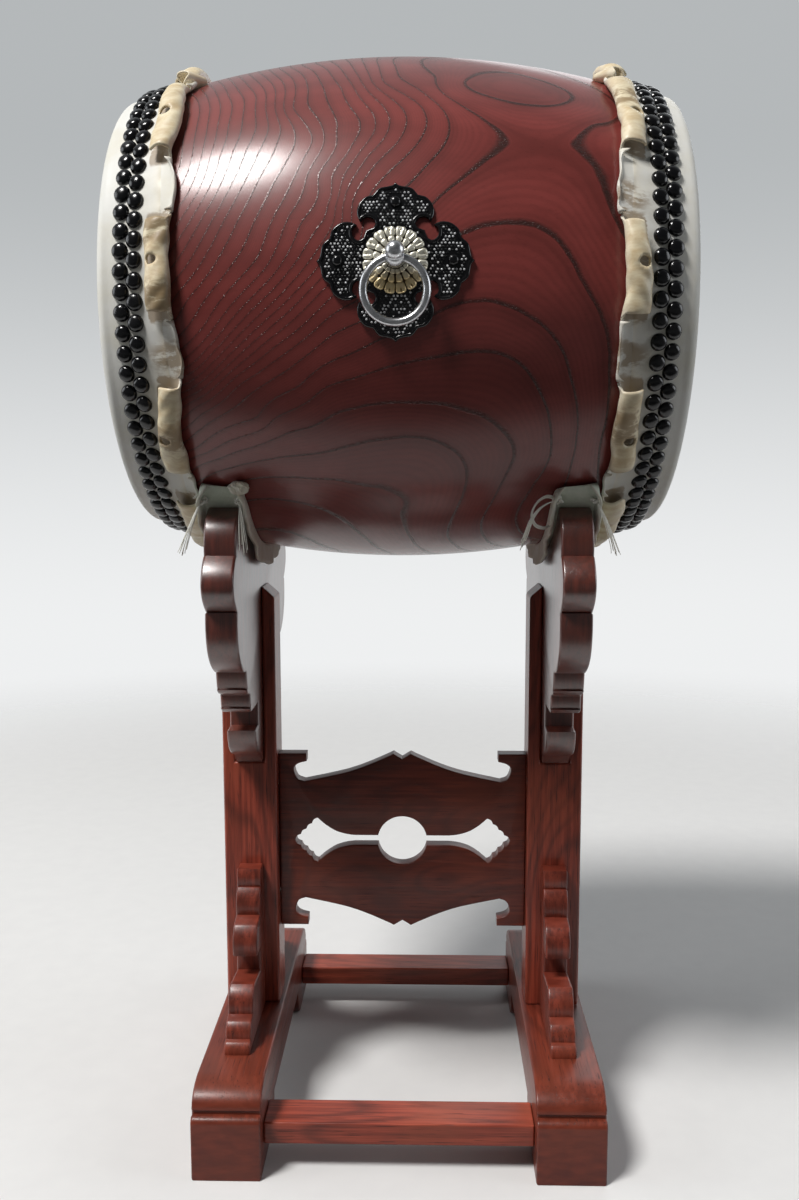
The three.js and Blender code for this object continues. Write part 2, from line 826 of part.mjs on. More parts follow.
// Routes as [outwards from the pad's middle, forward, height] from the knots' own place.
const outerTail = [
  [knotSpread + 2, -3.6, -2.8],
  [knotSpread + 7, -7, -14],
  [knotSpread + 14, -8.5, -32],
  [knotSpread + 20, -8.5, -50],
  [knotSpread + 22, -8, -58],
];
const innerTail = [
  [-knotSpread - 1, -3.6, -3.3],
  [-knotSpread - 2.5, -6.5, -16],
  [-knotSpread - 4, -7, -36],
  [-knotSpread - 5, -6.5, -58],
];
const bowTail = [
  [-knotSpread - 3, -3.8, -1],
  [-knotSpread - 10.5, -10, -2],
  [-knotSpread - 20.5, -12, -8],
  [-knotSpread - 29.5, -12.5, -20],
  [-knotSpread - 35.5, -12, -37],
  [-knotSpread - 41, -11, -52],
];
const bowLoop = [
  [-knotSpread - 4.4, -1.5, 1.8],
  [-knotSpread - 14, -5, 3.5],
  [-knotSpread - 24, -7, -3],
  [-knotSpread - 29, -7, -15],
  [-knotSpread - 25.5, -5, -26],
  [-knotSpread - 16, 2, -30],
  [-knotSpread - 8.5, 11, -28],
];

function cord(route) {
  const path = new THREE.CatmullRomCurve3(route.map((point) => new THREE.Vector3(...point)));
  const section = new THREE.Shape(
    Array.from({ length: cordSides }, (_, i) => {
      const angle = (i * 2 * Math.PI) / cordSides;
      return new THREE.Vector2(cordRadius * Math.cos(angle), cordRadius * Math.sin(angle));
    }),
  );
  const steps = Math.round(path.getLength() / (cordStepShare * 2 * cordRadius));
  return faced(new THREE.ExtrudeGeometry(section, { steps, extrudePath: path }));
}

for (const [side, sign] of sideNames)
  for (const [end, forward] of [
    ["front", 1],
    ["back", -1],
  ]) {
    const place = ([out, ahead, up]) => [
      sign * (sideCentre + out),
      forward * (knotForward + ahead),
      knotHeight + up,
    ];
    const name = (piece, where) => `${piece}_${end}_${side}_${where}`;
    const bow = end === "front" && side === "right";
    for (const [where, out, route] of [
      ["outer", knotSpread, outerTail],
      ["inner", -knotSpread, bow ? bowTail : innerTail],
    ]) {
      const knot = new THREE.IcosahedronGeometry(knotRadius, 0).translate(...place([out, 0, 0]));
      part.add(mesh(name("tie_knot", where), faced(knot), string()));
      part.add(mesh(name("tie_tail", where), cord(route.map(place)), string()));
    }
    if (bow) part.add(mesh("tie_loop_front_right", cord(bowLoop.map(place)), string()));
  }

export default part;
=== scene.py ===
import math

import bmesh
import bpy
import numpy as np
from mathutils import Matrix, Vector


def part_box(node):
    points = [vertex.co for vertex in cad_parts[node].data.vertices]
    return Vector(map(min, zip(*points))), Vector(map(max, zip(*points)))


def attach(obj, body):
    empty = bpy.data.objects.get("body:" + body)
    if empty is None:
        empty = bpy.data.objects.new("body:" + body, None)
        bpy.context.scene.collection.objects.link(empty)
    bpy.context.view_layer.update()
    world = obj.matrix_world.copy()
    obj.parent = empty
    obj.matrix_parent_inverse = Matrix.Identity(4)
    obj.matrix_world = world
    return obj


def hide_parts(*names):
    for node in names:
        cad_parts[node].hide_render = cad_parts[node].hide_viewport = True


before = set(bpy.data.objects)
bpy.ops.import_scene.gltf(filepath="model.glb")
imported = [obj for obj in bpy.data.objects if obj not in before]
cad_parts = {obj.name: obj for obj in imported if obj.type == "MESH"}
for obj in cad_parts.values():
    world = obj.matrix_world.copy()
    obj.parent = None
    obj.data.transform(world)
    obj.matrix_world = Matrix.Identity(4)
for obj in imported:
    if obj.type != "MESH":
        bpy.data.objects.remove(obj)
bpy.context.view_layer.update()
mm = 0.001

# The camera stands at hip height in front of the drum, a little right of the middle, and looks
# slightly down. Its focal length is in pixels of the picture, whose long side the sensor spans.
picture_width, picture_height = 799, 1200
focal_px = 1098.89
sensor_mm = 36
eye_place = Vector((28.9, -1352.8, 775.7)) * mm
eye_yaw, eye_pitch, eye_roll = (math.radians(angle) for angle in (-1.3633, 6.8167, -0.0859))
ahead = Vector(
    (
        math.sin(eye_yaw) * math.cos(eye_pitch),
        math.cos(eye_yaw) * math.cos(eye_pitch),
        -math.sin(eye_pitch),
    )
)
level = Vector((math.cos(eye_yaw), -math.sin(eye_yaw), 0))
upward = level.cross(ahead)
sideways = level * math.cos(eye_roll) + upward * math.sin(eye_roll)
upward = sideways.cross(ahead)

camera = bpy.data.objects.new("camera", bpy.data.cameras.new("camera"))
bpy.context.scene.collection.objects.link(camera)
camera.data.sensor_width = sensor_mm
camera.data.lens = focal_px * sensor_mm / picture_height
axes = Matrix((sideways, upward, -ahead)).transposed().to_4x4()
camera.matrix_world = Matrix.Translation(eye_place) @ axes
bpy.context.scene.camera = camera


# The strings: off-white twine that ties each pad down at its four corners. Every tie is a
# small knot whose ends hang down and fray into loose strands; one is a bow with its loop.
class Wire:
    """One socket of a material's nodes, so that masks and sums read as plain arithmetic."""

    def __init__(self, tree, socket=None):
        self.tree, self.socket = tree, socket

    def node(self, kind, inputs=None, out=0, stops=(), **settings):
        made = self.tree.nodes.new("ShaderNode" + kind)
        for name, value in settings.items():
            setattr(made, name, value)
        for index, (place, shade) in enumerate(stops):
            elements = made.color_ramp.elements
            stop = elements[index] if index < 2 else elements.new(place)
            stop.position, stop.color = place, (*shade, 1)
        for name, value in (inputs or {}).items():
            socket = made.inputs[name]
            if isinstance(value, Wire):
                self.tree.links.new(value.socket, socket)
            else:
                socket.default_value = value
        return Wire(self.tree, made.outputs[out])

    def maths(self, operation, first, second=0.0):
        return self.node("Math", {0: first, 1: second}, operation=operation)

    def __add__(self, other):
        return self.maths("ADD", self, other)

    def __radd__(self, other):
        return self.maths("ADD", other, self)

    def __sub__(self, other):
        return self.maths("SUBTRACT", self, other)

    def __rsub__(self, other):
        return self.maths("SUBTRACT", other, self)

    def __mul__(self, other):
        return self.maths("MULTIPLY", self, other)

    def __rmul__(self, other):
        return self.maths("MULTIPLY", other, self)

    def between(self, low, high):
        """0 below low, 1 above high and a smooth rise in between; falling if low is above high."""
        return self.node("MapRange", {0: self, 1: low, 2: high}, interpolation_type="SMOOTHSTEP")


def place_on(wires, stretch=(1, 1, 1), turn=(0, 0, 0)):
    """Places on the piece at rest, stretched: a large number packs the pattern along that axis."""
    there = wires.node("TexCoord", out="Object")
    return wires.node("Mapping", {"Vector": there, "Scale": stretch, "Rotation": turn})


def clouds(wires, pack, detail, roughness=0.5, turn=(0, 0, 0)):
    """Soft noise, packed closer by a larger number or by one number for each axis."""
    even = isinstance(pack, float)
    vector = place_on(wires, (1, 1, 1) if even else pack, turn)
    pack = pack if even else 1.0
    inputs = {"Vector": vector, "Scale": pack, "Detail": detail, "Roughness": roughness}
    return wires.node("TexNoise", inputs)


def blend(wires, mask, low, high):
    """The colour low where mask is 0 and high where it is 1."""
    shades = [x if isinstance(x, Wire) else (*x, 1) for x in (low, high)]
    return wires.node("Mix", {0: mask, 6: shades[0], 7: shades[1]}, out=2, data_type="RGBA")


def raised(wires, height, distance, strength):
    return wires.node("Bump", {"Height": height, "Distance": distance, "Strength": strength})


def finish_of(name, dress):
    """A material whose Principled sockets are what dress(wires) returns for them."""
    material = bpy.data.materials.new(name)
    material.use_nodes = True
    tree = material.node_tree
    tree.nodes.clear()
    shader = tree.nodes.new("ShaderNodeBsdfPrincipled")
    output = tree.nodes.new("ShaderNodeOutputMaterial")
    tree.links.new(shader.outputs[0], output.inputs[0])
    for socket, value in dress(Wire(tree)).items():
        if isinstance(value, Wire):
            tree.links.new(value.socket, shader.inputs[socket])
        else:
            shader.inputs[socket].default_value = value
    return material


def threads(wires, scale, distortion, direction="X"):
    """Bands like laid threads, one beside the other in the given direction."""
    inputs = {"Vector": place_on(wires), "Scale": scale, "Distortion": distortion}
    return wires.node("TexWave", inputs, bands_direction=direction)


def string_look(wires):
    fluff = clouds(wires, 900.0, 2.0)
    return {
        "Base Color": blend(wires, fluff.between(0.35, 0.7), (0.85, 0.84, 0.75), (0.97, 0.97, 0.92)),
        "Roughness": 0.8,
        "Normal": raised(wires, threads(wires, 260.0, 3.0) + fluff, 0.3 * mm, 0.5),
        "Sheen Weight": 0.3,
    }


def full_turn(count):
    """Angles spaced evenly round a full turn."""
    return np.linspace(0, 2 * math.pi, count, endpoint=False)


def smooth_route(points, count):
    """Points evenly numbered along a smooth curve through the given ones."""
    given = np.array(points, float)
    padded = np.vstack([2 * given[0] - given[1], given, 2 * given[-1] - given[-2]])
    places = np.linspace(0, len(given) - 1, count)
    spans = np.minimum(places.astype(int), len(given) - 2)
    t = (places - spans)[:, None]
    a, b, c, d = (padded[spans + k] for k in range(4))
    return 0.5 * (
        2 * b + (c - a) * t + (2 * a - 5 * b + 4 * c - d) * t**2 + (3 * b - a - 3 * c + d) * t**3
    )


def dressed(data, material):
    """Gives a mesh or a curve its one material."""
    data.materials.clear()
    data.materials.append(material)


def added(name, data, material):
    """A new piece of the scene."""
    made = bpy.data.objects.new(name, data)
    bpy.context.scene.collection.objects.link(made)
    dressed(data, material)
    return made


def drawn(data, route, closed):
    """One line of a curve through a route's points, which are flat or in space."""
    route = np.asarray(route, float)
    flat = np.zeros((len(route), 3 - route.shape[1]))
    spline = data.splines.new("POLY")
    spline.points.add(len(route) - 1)
    spline.points.foreach_set("co", np.column_stack([route, flat, np.ones(len(route))]).ravel())
    spline.use_cyclic_u, spline.use_smooth = closed, True


def yarn(name, routes, radius, closed=False):
    """Strings of round section, one along each route."""
    data = bpy.data.curves.new(name, "CURVE")
    data.dimensions = "3D"
    data.bevel_depth, data.bevel_resolution, data.use_fill_caps = radius, 2, not closed
    for route in routes:
        drawn(data, route, closed)
    return added(name, data, string_finish)


string_finish = finish_of("white_string", string_look)
side_signs = {"left": -1, "right": 1}
end_signs = {"front": 1, "back": -1}
side_centre = 189 * mm
strand_radius, thin_strand = 0.55 * mm, 0.75 * 0.55 * mm
strand_count, shortest_strand = 9, 6
strand_wave = 0.7 * mm
frayed_spread, bow_spread = 5.5 * mm, 2.2 * mm  # how far a tail's strands part
spread_flatness = 0.6  # the strands part less towards the arm than along it
route_points = 24
knot_points = 40
knot_size = 1.6 * mm  # a trefoil's unit
knot_string = 1.3 * mm
over_apart = np.array((1.3, 0, 0.3)) * mm  # between the two strings that pass over a pad
loop_apart = np.array((0.4, -0.5, 0.9)) * 3.4 * strand_radius  # between the bow's two strings

# Routes as (outwards past the knot, in under the drum, up) from the knots' place, in mm.
knot_spread = 19.5  # from the arm's middle to a knot
outer_tail = [(2, -3.6, -2.8), (7, -7, -14), (14, -8.5, -32), (20, -8.5, -50), (22, -8, -58)]
inner_tail = [(1, -3.6, -3.3), (2.5, -6.5, -16), (4, -7, -36), (5, -6.5, -58)]
bow_tail = [(3, -3.8, -1), (10.5, -10, -2), (20.5, -12, -8), (29.5, -12.5, -20), (35.5, -12, -37)]
bow_tail += [(41, -11, -52)]
bow_loop = [(4.4, -1.5, 1.8), (14, -5, 3.5), (24, -7, -3), (29, -7, -15), (25.5, -5, -26)]
bow_loop += [(16, 2, -30), (8.5, 11, -28)]
over_pad = [(0, 0.5, 2.5), (-1.365, 3.5, 9), (-2.34, 10, 13.5), (-2.73, 20, 11)]


def tie_place(corner, point):
    """A point of a string's route, measured from the knots' place at one corner of a pad."""
    sign, forward, way_out, anchor = corner
    past_knot, in_under, up = point
    out = way_out * (knot_spread + past_knot) * mm
    return sign * (side_centre + out), anchor.y + forward * in_under * mm, anchor.z + up * mm


def frayed(route, spread, random):
    """Strands that start together along a route and part towards its end."""
    run = np.linspace(0, 1, len(route))[:, None]
    strands = []
    for angle in full_turn(strand_count - 1):
        apart = np.array((math.cos(angle), spread_flatness * math.sin(angle), 0))
        apart = apart * random.uniform(0.5, 1.2)
        wave = np.array((random.normal(), random.normal(), 0)) * strand_wave
        ripple = np.sin(run * random.uniform(5, 9) + random.uniform(0, 6)) * run * wave
        cut = max(shortest_strand, int(len(route) * random.uniform(0.8, 1)))
        strands.append((route + apart * (strand_radius * 1.5 + spread * run**1.6) + ripple)[:cut])
    return strands


tie_random = np.random.default_rng(11)
for side, sign in side_signs.items():
    for end, forward in end_signs.items():
        anchor_low, anchor_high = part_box(f"tie_knot_{end}_{side}_outer")
        bow = (end, side) == ("front", "right")
        for where, way_out, points in (
            ("outer", 1, outer_tail),
            ("inner", -1, bow_tail if bow else inner_tail),
        ):
            corner = sign, forward, way_out, (anchor_low + anchor_high) / 2
            label = f"{end}_{side}_{where}"
            t = full_turn(knot_points)
            trefoil = np.column_stack(
                [np.sin(t) + 2 * np.sin(2 * t), np.cos(t) - 2 * np.cos(2 * t), -np.sin(3 * t)]
            )
            tilt = np.array(Matrix.Rotation(tie_random.uniform(-1, 1), 3, "X"))
            twined = np.array(tie_place(corner, (0, 0, 0))) + knot_size * trefoil @ tilt
            knot = yarn(f"string_knot_{label}", [twined], knot_string, True)
            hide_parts(f"tie_knot_{label}")
            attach(knot, "stand")

            route = smooth_route([tie_place(corner, point) for point in points], route_points)
            tail = yarn(f"string_tail_{label}", [route], strand_radius)
            strands = frayed(route, bow_spread if points is bow_tail else frayed_spread, tie_random)
            loose = yarn(f"string_strands_{label}", strands, thin_strand)
            over = smooth_route([tie_place(corner, point) for point in over_pad], route_points)
            pass_over = yarn(f"string_over_{label}", [over, over + over_apart], strand_radius)
            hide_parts(f"tie_tail_{label}")
            for piece in (tail, loose, pass_over):
                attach(piece, "stand")
            if points is bow_tail:
                route = smooth_route([tie_place(corner, point) for point in bow_loop], 2 * route_points)
                loop = yarn("string_loop", [route], 2 * strand_radius)
                twin = yarn("string_loop_twin", [route[2:-2] + loop_apart], 1.5 * strand_radius)
                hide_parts("tie_loop_front_right")
                for piece in (loop, twin):
                    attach(piece, "stand")

# The barrel: one hollowed log of hardwood under clear red-brown lacquer. Its growth rings show
# as dark flowing lines, read off the front as the ring number that each line belongs to.
axis_height = 954 * mm
drum_roll = 0.06  # radians that the drum is rolled in its cradle, front upwards
half_length = 296.5 * mm
belly_radius = 283.6 * mm
mouth_radius = 235.8 * mm
barrel_wall = 36 * mm
mouth_round = 8 * mm
columns = 384
outside_rows = 108
row_crowding = 0.86  # how much closer the rows stand towards the mouths; at 1 the last ones meet
lip_steps, inside_rows = 6, 26
sight_step, sight_steps = 0.25 * mm, 2000
give = 2e-4  # how far the surface through the ring numbers may miss them
never_zero = 1e-12  # keeps a logarithm or a quotient finite
rings_at_once = 16
far_drift = 7  # rings by which the figure drifts off at the back
drift_wave, drift_shift = 2.2, 1.1  # how the drift changes along the barrel


def barrel_radius(x):
    return belly_radius - (belly_radius - mouth_radius) * (x / half_length) ** 2


def barrel_slope(x):
    return np.arctan(2 * (belly_radius - mouth_radius) * x / half_length**2)


def on_drum(x, radius, angle):
    """Points from the place along the axis, the radius, and the angle above the front."""
    x, radius, angle = np.broadcast_arrays(x, radius, np.asarray(angle) + drum_roll)
    return np.stack([x, -radius * np.cos(angle), axis_height + radius * np.sin(angle)], -1)


def smooth(made, angle):
    made.data.shade_smooth()
    made.data.set_sharp_from_angle(angle=math.radians(angle))


def piece_of(name, points, faces, material, smooth_angle=40):
    data = bpy.data.meshes.new(name)
    data.from_pydata(np.asarray(points).reshape(-1, 3).tolist(), [], faces)
    data.validate()
    data.update()
    made = added(name, data, material)
    smooth(made, smooth_angle)
    return made


def marked(piece, name, values):
    """Gives each point of the piece a value, which its material reads by that name."""
    marks = piece.data.attributes.new(name, "FLOAT", "POINT")
    marks.data.foreach_set("value", np.asarray(values, np.float32).ravel())


def net_faces(rows, count, closed_rows=False, closed_columns=True):
    """Quads of a net of points numbered row by row."""
    faces = []
    for row in range(rows if closed_rows else rows - 1):
        here, above = row * count, (row + 1) % rows * count
        for column in range(count if closed_columns else count - 1):
            beside = (column + 1) % count
            faces.append((here + column, here + beside, above + beside, above + column))
    return faces


# Ring number, then pixels of the picture along that ring's line.
grain_lines_px = [
    (0, [(253, 480), (322, 481), (374, 489), (394, 496), (404, 503), (397, 513)]),
    (1, [(246, 465), (305, 457), (380, 442), (428, 441),
     (449, 450), (464, 479), (456, 505), (450, 519)]),
    (2, [(236, 453), (271, 441), (314, 428), (357, 409), (414, 404),
     (457, 410), (494, 426), (512, 453), (500, 482), (480, 519)]),
    (3, [(198, 455), (271, 421), (322, 391), (380, 370), (449, 358),
     (497, 355), (528, 376), (545, 410), (548, 457), (518, 505)]),
    (4, [(197, 450), (260, 419), (300, 388), (348, 357), (414, 326),
     (476, 304), (518, 314), (550, 338), (568, 379), (572, 455)]),
    (5, [(195, 434), (271, 381), (331, 336), (459, 237),
     (487, 229), (516, 226), (537, 230), (555, 243)]),
    (5, [(567, 261), (580, 286), (596, 307), (608, 344), (608, 379), (604, 414), (597, 448)]),
    (5, [(467, 84), (480, 76), (519, 76), (550, 86), (572, 97), (555, 104), (519, 102), (480, 93)]),
    (6, [(425, 61), (439, 77), (443, 93), (480, 116), (513, 137), (487, 164), (446, 193), (432, 207)]),
    (6, [(193, 423), (236, 388), (288, 352), (331, 317), (357, 303)]),
    (6, [(612, 120), (591, 125), (567, 138), (578, 155), (592, 168), (609, 207), (616, 225)]),
    (6, [(519, 65), (559, 75), (585, 84), (605, 95)]),
    (7, [(394, 61), (417, 87), (437, 102), (451, 128), (432, 162), (409, 186)]),
    (7, [(196, 407), (236, 377), (270, 351), (305, 324), (333, 296)]),
    (8, [(384, 82), (403, 93), (421, 105), (428, 124), (407, 157), (377, 186)]),
    (10, [(349, 61), (361, 79), (387, 111), (390, 127), (369, 155), (345, 193), (342, 207)]),
    (10, [(193, 388), (271, 316), (318, 268)]),
    (12, [(329, 70), (343, 89), (362, 121), (361, 134), (348, 155), (334, 193), (328, 216)]),
    (13, [(304, 66), (320, 80), (337, 118), (336, 134), (318, 175),
     (302, 220), (291, 250), (262, 288), (228, 325), (195, 362)]),
    (15, [(293, 109), (307, 125), (315, 138), (298, 173), (282, 205), (257, 261), (204, 328)]),
    (17, [(277, 114), (282, 129), (278, 142), (260, 178), (239, 219), (221, 255), (188, 300)]),
    (19, [(257, 96), (257, 127), (240, 170), (205, 235), (186, 268)]),
    (21, [(229, 96), (229, 125), (220, 157), (200, 205), (184, 232)]),
    (23, [(209, 100), (207, 134), (202, 157), (189, 193)]),
    (25, [(190, 112), (184, 139), (181, 165)]),
]


def seen_on_barrel(pixel, lift=0.0):
    """Where a pixel's line of sight meets the barrel, or a skin lifted off it: along and round."""
    across, down = pixel[0] - picture_width / 2, pixel[1] - picture_height / 2
    line = (ahead * focal_px + sideways * across - upward * down).normalized()
    reach = (-belly_radius - lift - mouth_round - eye_place.y) / line.y
    for _ in range(sight_steps):
        point = eye_place + line * reach
        if math.hypot(point.y, point.z - axis_height) < barrel_radius(point.x) + lift:
            break
        reach += sight_step
    angle = math.atan2(point.z - axis_height, -point.y) - drum_roll
    return point.x, angle * belly_radius


def thin_bend(distance):
    """How a thin springy sheet bends at a distance from a place that holds it."""
    squared = np.maximum(distance**2, never_zero)
    return squared * np.log(squared)


ring_numbers, ring_places = [], []
for number, line_px in grain_lines_px:
    ring_numbers += [number] * len(line_px)
    ring_places += [seen_on_barrel(pixel) for pixel in line_px]
ring_places = np.array(ring_places)
spacing = np.linalg.norm(ring_places[:, None] - ring_places[None], axis=2)
flat_terms = np.column_stack([np.ones(len(ring_places)), ring_places])
system = np.block(
    [[thin_bend(spacing) + give * np.eye(len(spacing)), flat_terms], [flat_terms.T, np.zeros((3, 3))]]
)
weights = np.linalg.solve(system, np.concatenate([ring_numbers, np.zeros(3)]))


def ring_number(x, way_round):
    """The growth ring at places on the front, given along the barrel and round it."""
    place = np.column_stack([x, way_round])
    total = weights[-3] + place @ weights[-2:]
    for start in range(0, len(ring_places), rings_at_once):
        some = ring_places[start : start + rings_at_once]
        distance = np.linalg.norm(place[:, None] - some[None], axis=2)
        total = total + thin_bend(distance) @ weights[start : start + len(some)]
    return total


outside_x = half_length * np.sin(np.linspace(-1, 1, outside_rows) * math.pi / 2 * row_crowding)
outside_x *= (half_length - mouth_round) / outside_x[-1]
lip_centre = barrel_radius(half_length - mouth_round) - mouth_round
lip = [
    (half_length - mouth_round + mouth_round * math.sin(t), lip_centre + mouth_round * math.cos(t))
    for t in np.linspace(0, math.pi / 2, lip_steps)[1:]
]
inside_x = np.linspace(half_length, -half_length, inside_rows)
profile = np.array(
    [(-x, radius) for x, radius in lip[::-1]]
    + [(x, barrel_radius(x)) for x in outside_x]
    + lip
    + [(x, barrel_radius(x) - barrel_wall) for x in inside_x]
)
angles = full_turn(columns)
barrel_points = on_drum(profile[:, :1], profile[:, 1:], angles[None])


def lacquered_log(wires):
    rings = wires.node("Attribute", attribute_name="ring_number", out="Fac")
    rings = rings + (clouds(wires, 14.0, 3.0) - 0.5) * 0.22
    within = wires.maths("FRACT", rings)
    fine = clouds(wires, (160, 420, 420), 3.0)
    pores = clouds(wires, (350, 900, 900), 1.0)
    speckle = clouds(wires, 1100.0, 1.0)
    heavy = clouds(wires, 3.2, 2.0).between(0.35, 0.65)
    early = within.between(0.0, 0.035) * within.between(0.15, 0.055)
    shadow = within.between(0.62, 1.0) * 0.38 + within.between(0.34, 0.1) * 0.14
    hair = wires.maths("FRACT", rings * 8.0)
    hair = hair.between(0.0, 0.25) * hair.between(0.75, 0.4) * 0.22
    dark = early * (0.62 + fine * 0.4) * (0.78 + heavy * 0.22)
    cloudy = clouds(wires, (6, 14, 14), 3.0, 0.6)
    body = blend(wires, cloudy.between(0.3, 0.7), (0.17, 0.027, 0.023), (0.25, 0.044, 0.038))
    body = blend(wires, shadow + hair * 0.7 + fine.between(0.5, 0.8) * 0.2, body, (0.085, 0.013, 0.01))
    shade = blend(wires, dark, body, (0.018, 0.008, 0.006))
    relief = 0.0 - early * pores.between(0.5, 0.62) - early * 0.12 + fine * 0.04 + speckle * 0.05
    return {
        "Base Color": shade,
        "Roughness": 0.2 + early * 0.05 + fine * 0.06,
        "Normal": raised(wires, relief, 0.35 * mm, 0.6),
        "Coat Weight": 0.4 - early * 0.1,
        "Coat Roughness": 0.5,
        "Specular IOR Level": 0.42,
    }


lacquer_finish = finish_of("lacquered_log", lacquered_log)
barrel = piece_of("barrel", barrel_points, net_faces(len(profile), columns, True), lacquer_finish, 60)
# The far side's figure is the front's, folded over and drifting off towards the back.
folded = (angles + math.pi / 2) % (2 * math.pi) - math.pi / 2
folded = np.where(folded > math.pi / 2, math.pi - folded, folded)
grid_x = np.repeat(profile[:, 0], columns)
far_side = np.tile(np.maximum(-np.cos(angles), 0), len(profile))
grid_rings = ring_number(grid_x, np.tile(folded * belly_radius, len(profile)))
grid_rings += far_drift * far_side**2 * np.sin(grid_x / half_length * drift_wave + drift_shift)
marked(barrel, "ring_number", grid_rings)
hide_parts("drum_body")
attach(barrel, "drum")

# The hides: cowhide shrunk over each mouth and nailed down wet. The hem that it was pulled by
# was left on: it dried into stiff rolls and flaps, with the slots of the stretching rods.
fit = 0.3 * mm  # gap between pieces that touch
hide_thickness = 3 * mm
hide_outside = fit + hide_thickness
hide_columns = 720
membrane_shares = [0.13, 0.4, 0.64, 0.82, 0.94]  # rings of the flat membrane
skirt_rows = 16
roll_rows = 32
roll_centre = 231.5 * mm
roll_reach, flap_reach = 11.5 * mm, 14 * mm
roll_height, flap_height = 6.8 * mm, 2.6 * mm  # half heights
roll_radius = (roll_reach + roll_height) / 2
roll_turn, flap_turn = 4.65, 1.7  # radians that the edge turns up and over
roll_tightening, tight_from = 0.055, 1.5
torn_from, torn_to, torn_above = 0.12, 0.85, 0.42  # where a roll's end is torn from the flap beside it
slot_turn = 3.35  # where on the roll the slots are
slotted_below = 0.02  # a slot is left out where the hem is flatter than this
rim_from, rim_to = 0.66, 1.3  # in slot sizes: points in between are drawn onto a slot's rim
bend_rows, stained_rows, foot_rows = 8, 7, 4
window_softness = 0.011
fold_slant = 0.04  # how far the small folds run slantwise round the roll
# How the hem wanders round the drum: by how much, a seed, and the numbers of its waves.
centre_wander = (1.6 * mm, 5, (7, 11, 17))
reach_wander, height_wander = (0.11, 15, (13, 19, 29)), (0.16, 25, (9, 14, 23))
reach_folds, height_folds = (0.045, 85, (37, 53, 71)), (0.05, 75, (47, 61, 83))
gather_wander, curl_wander = (0.35 * mm, 35, (31, 43, 57)), (0.4, 95, (5, 8, 13))
hem_lift = 13 * mm
slot_width, slot_height = 4.8 * mm, 5.4 * mm  # half sizes
drawn_in, drawn_in_px = 3.5 * mm, (168, 390)  # where the left hem runs nearer to the middle
drawn_width = 0.26
skin_thickness, ear_thickness = 2.5 * mm, 1.8 * mm
# The stiff curls near the top: a funnel from a narrow tail towards the barrel's middle to its mouth.
ear_angle, ear_far_angle, ear_gap = math.radians(57.5), math.radians(61), 0.085
ear_x, ear_far_x, ear_lift, ear_radius = 230 * mm, 209 * mm, 9.5 * mm, 8.8 * mm
ear_far_lift = 2 * mm
ear_tail, ear_uneven, ear_slant = 0.25, 0.07, 0.13  # shares: the tail's width, the mouth's waves
ear_start, ear_end = -1.2, 4.9  # radians of the funnel's turn
ear_columns, ear_rows = 44, 16
slot_pitch, far_slot, far_slots = math.radians(17), math.radians(83), 12
far_flap_shift, far_stain_shift = 0.1, 0.2
stain_width, stained_skirt_width = 0.07, 0.055
roll_foot_shade, shaded_turn = 3, 1.1  # painted shade along the foot of the rolls, inside them and on the skirt under them
dried_turn, edge_dryness = 2.2, [0.06, 0.16, 0.3]
flap_paleness, ear_dryness, faintest_stain = 0.85, 0.8, 0.2
slots_px = {
    "left": [(168, 114), (157, 260), (161, 311), (167, 392), (171, 439)],
    "right": [(634, 113), (640, 262), (639, 330), (638, 395), (636, 440)],
}
flaps_px = {
    "left": [((165, 152), (165, 212)), ((163, 317), (168, 384)), ((172, 474), (185, 500))],
    "right": [((635, 146), (635, 214)), ((634, 318), (634, 386)), ((630, 470), (620, 497))],
}
stains_px = {
    "left": [(168, 360), (160, 225), (160, 300), (172, 440)],
    "right": [(641, 192), (634, 358), (634, 425), (636, 100)],
}


def angle_at(pixel):
    return seen_on_barrel(pixel, hem_lift)[1] / belly_radius


def way_from(angle, place):
    """The shorter way round the drum from a place, with its sign."""
    return (angle - place + math.pi) % (2 * math.pi) - math.pi


def wander(angle, sign, strength, seed, waves):
    """A smooth wander round the drum, mostly within its strength, and different at each side."""
    random = np.random.default_rng(seed + sign)
    swings = (np.sin(wave * angle + random.uniform(0, 2 * math.pi)) for wave in waves)
    return strength * (sum(swings) / len(waves) ** 0.5)


def nearness(angle, place, width):
    """1 at a place round the drum, falling to 0 over a width."""
    return np.exp(-((way_from(angle, place) / width) ** 2))


def window(angle, start, end):
    """1 between two places round the drum and 0 outside them."""
    middle, half = (start + end) / 2, abs(end - start) / 2
    return 1 / (1 + np.exp((np.abs(way_from(angle, middle)) - half) / window_softness))


def flat_at(angle, flaps):
    """1 where the hem lies as a flap and 0 where it is rolled."""
    return np.minimum(sum(window(angle, *flap) for flap in flaps), 1)


def hem_place(sign, angle, turn, flat):
    """Points of the hem's outer face, turned up from the skirt; flat is 1 where it lies as a flap."""
    centre = roll_centre + wander(angle, sign, *centre_wander)
    if sign < 0:
        centre = centre - drawn_in * nearness(angle, angle_at(drawn_in_px), drawn_width)
    slant = fold_slant * turn
    reach = roll_reach + (flap_reach - roll_reach) * flat
    reach = reach * (1 + wander(angle, sign, *reach_wander))
    reach = reach * (1 + wander(angle - slant, sign, *reach_folds))
    height = roll_height + (flap_height - roll_height) * flat
    height = height * (1 + wander(angle, sign, *height_wander))
    height = height * (1 + wander(angle + slant, sign, *height_folds))
    tight = 1 - roll_tightening * np.maximum(turn - tight_from, 0)
    lift = height * (1 - np.cos(turn)) * tight
    run = reach * np.sin(turn) * tight
    seat = barrel_radius(centre) + hide_outside
    slope = barrel_slope(centre)
    x = centre - run * np.cos(slope) + lift * np.sin(slope)
    radius = seat + run * np.sin(slope) + lift * np.cos(slope)
    return on_drum(sign * x, radius, angle)


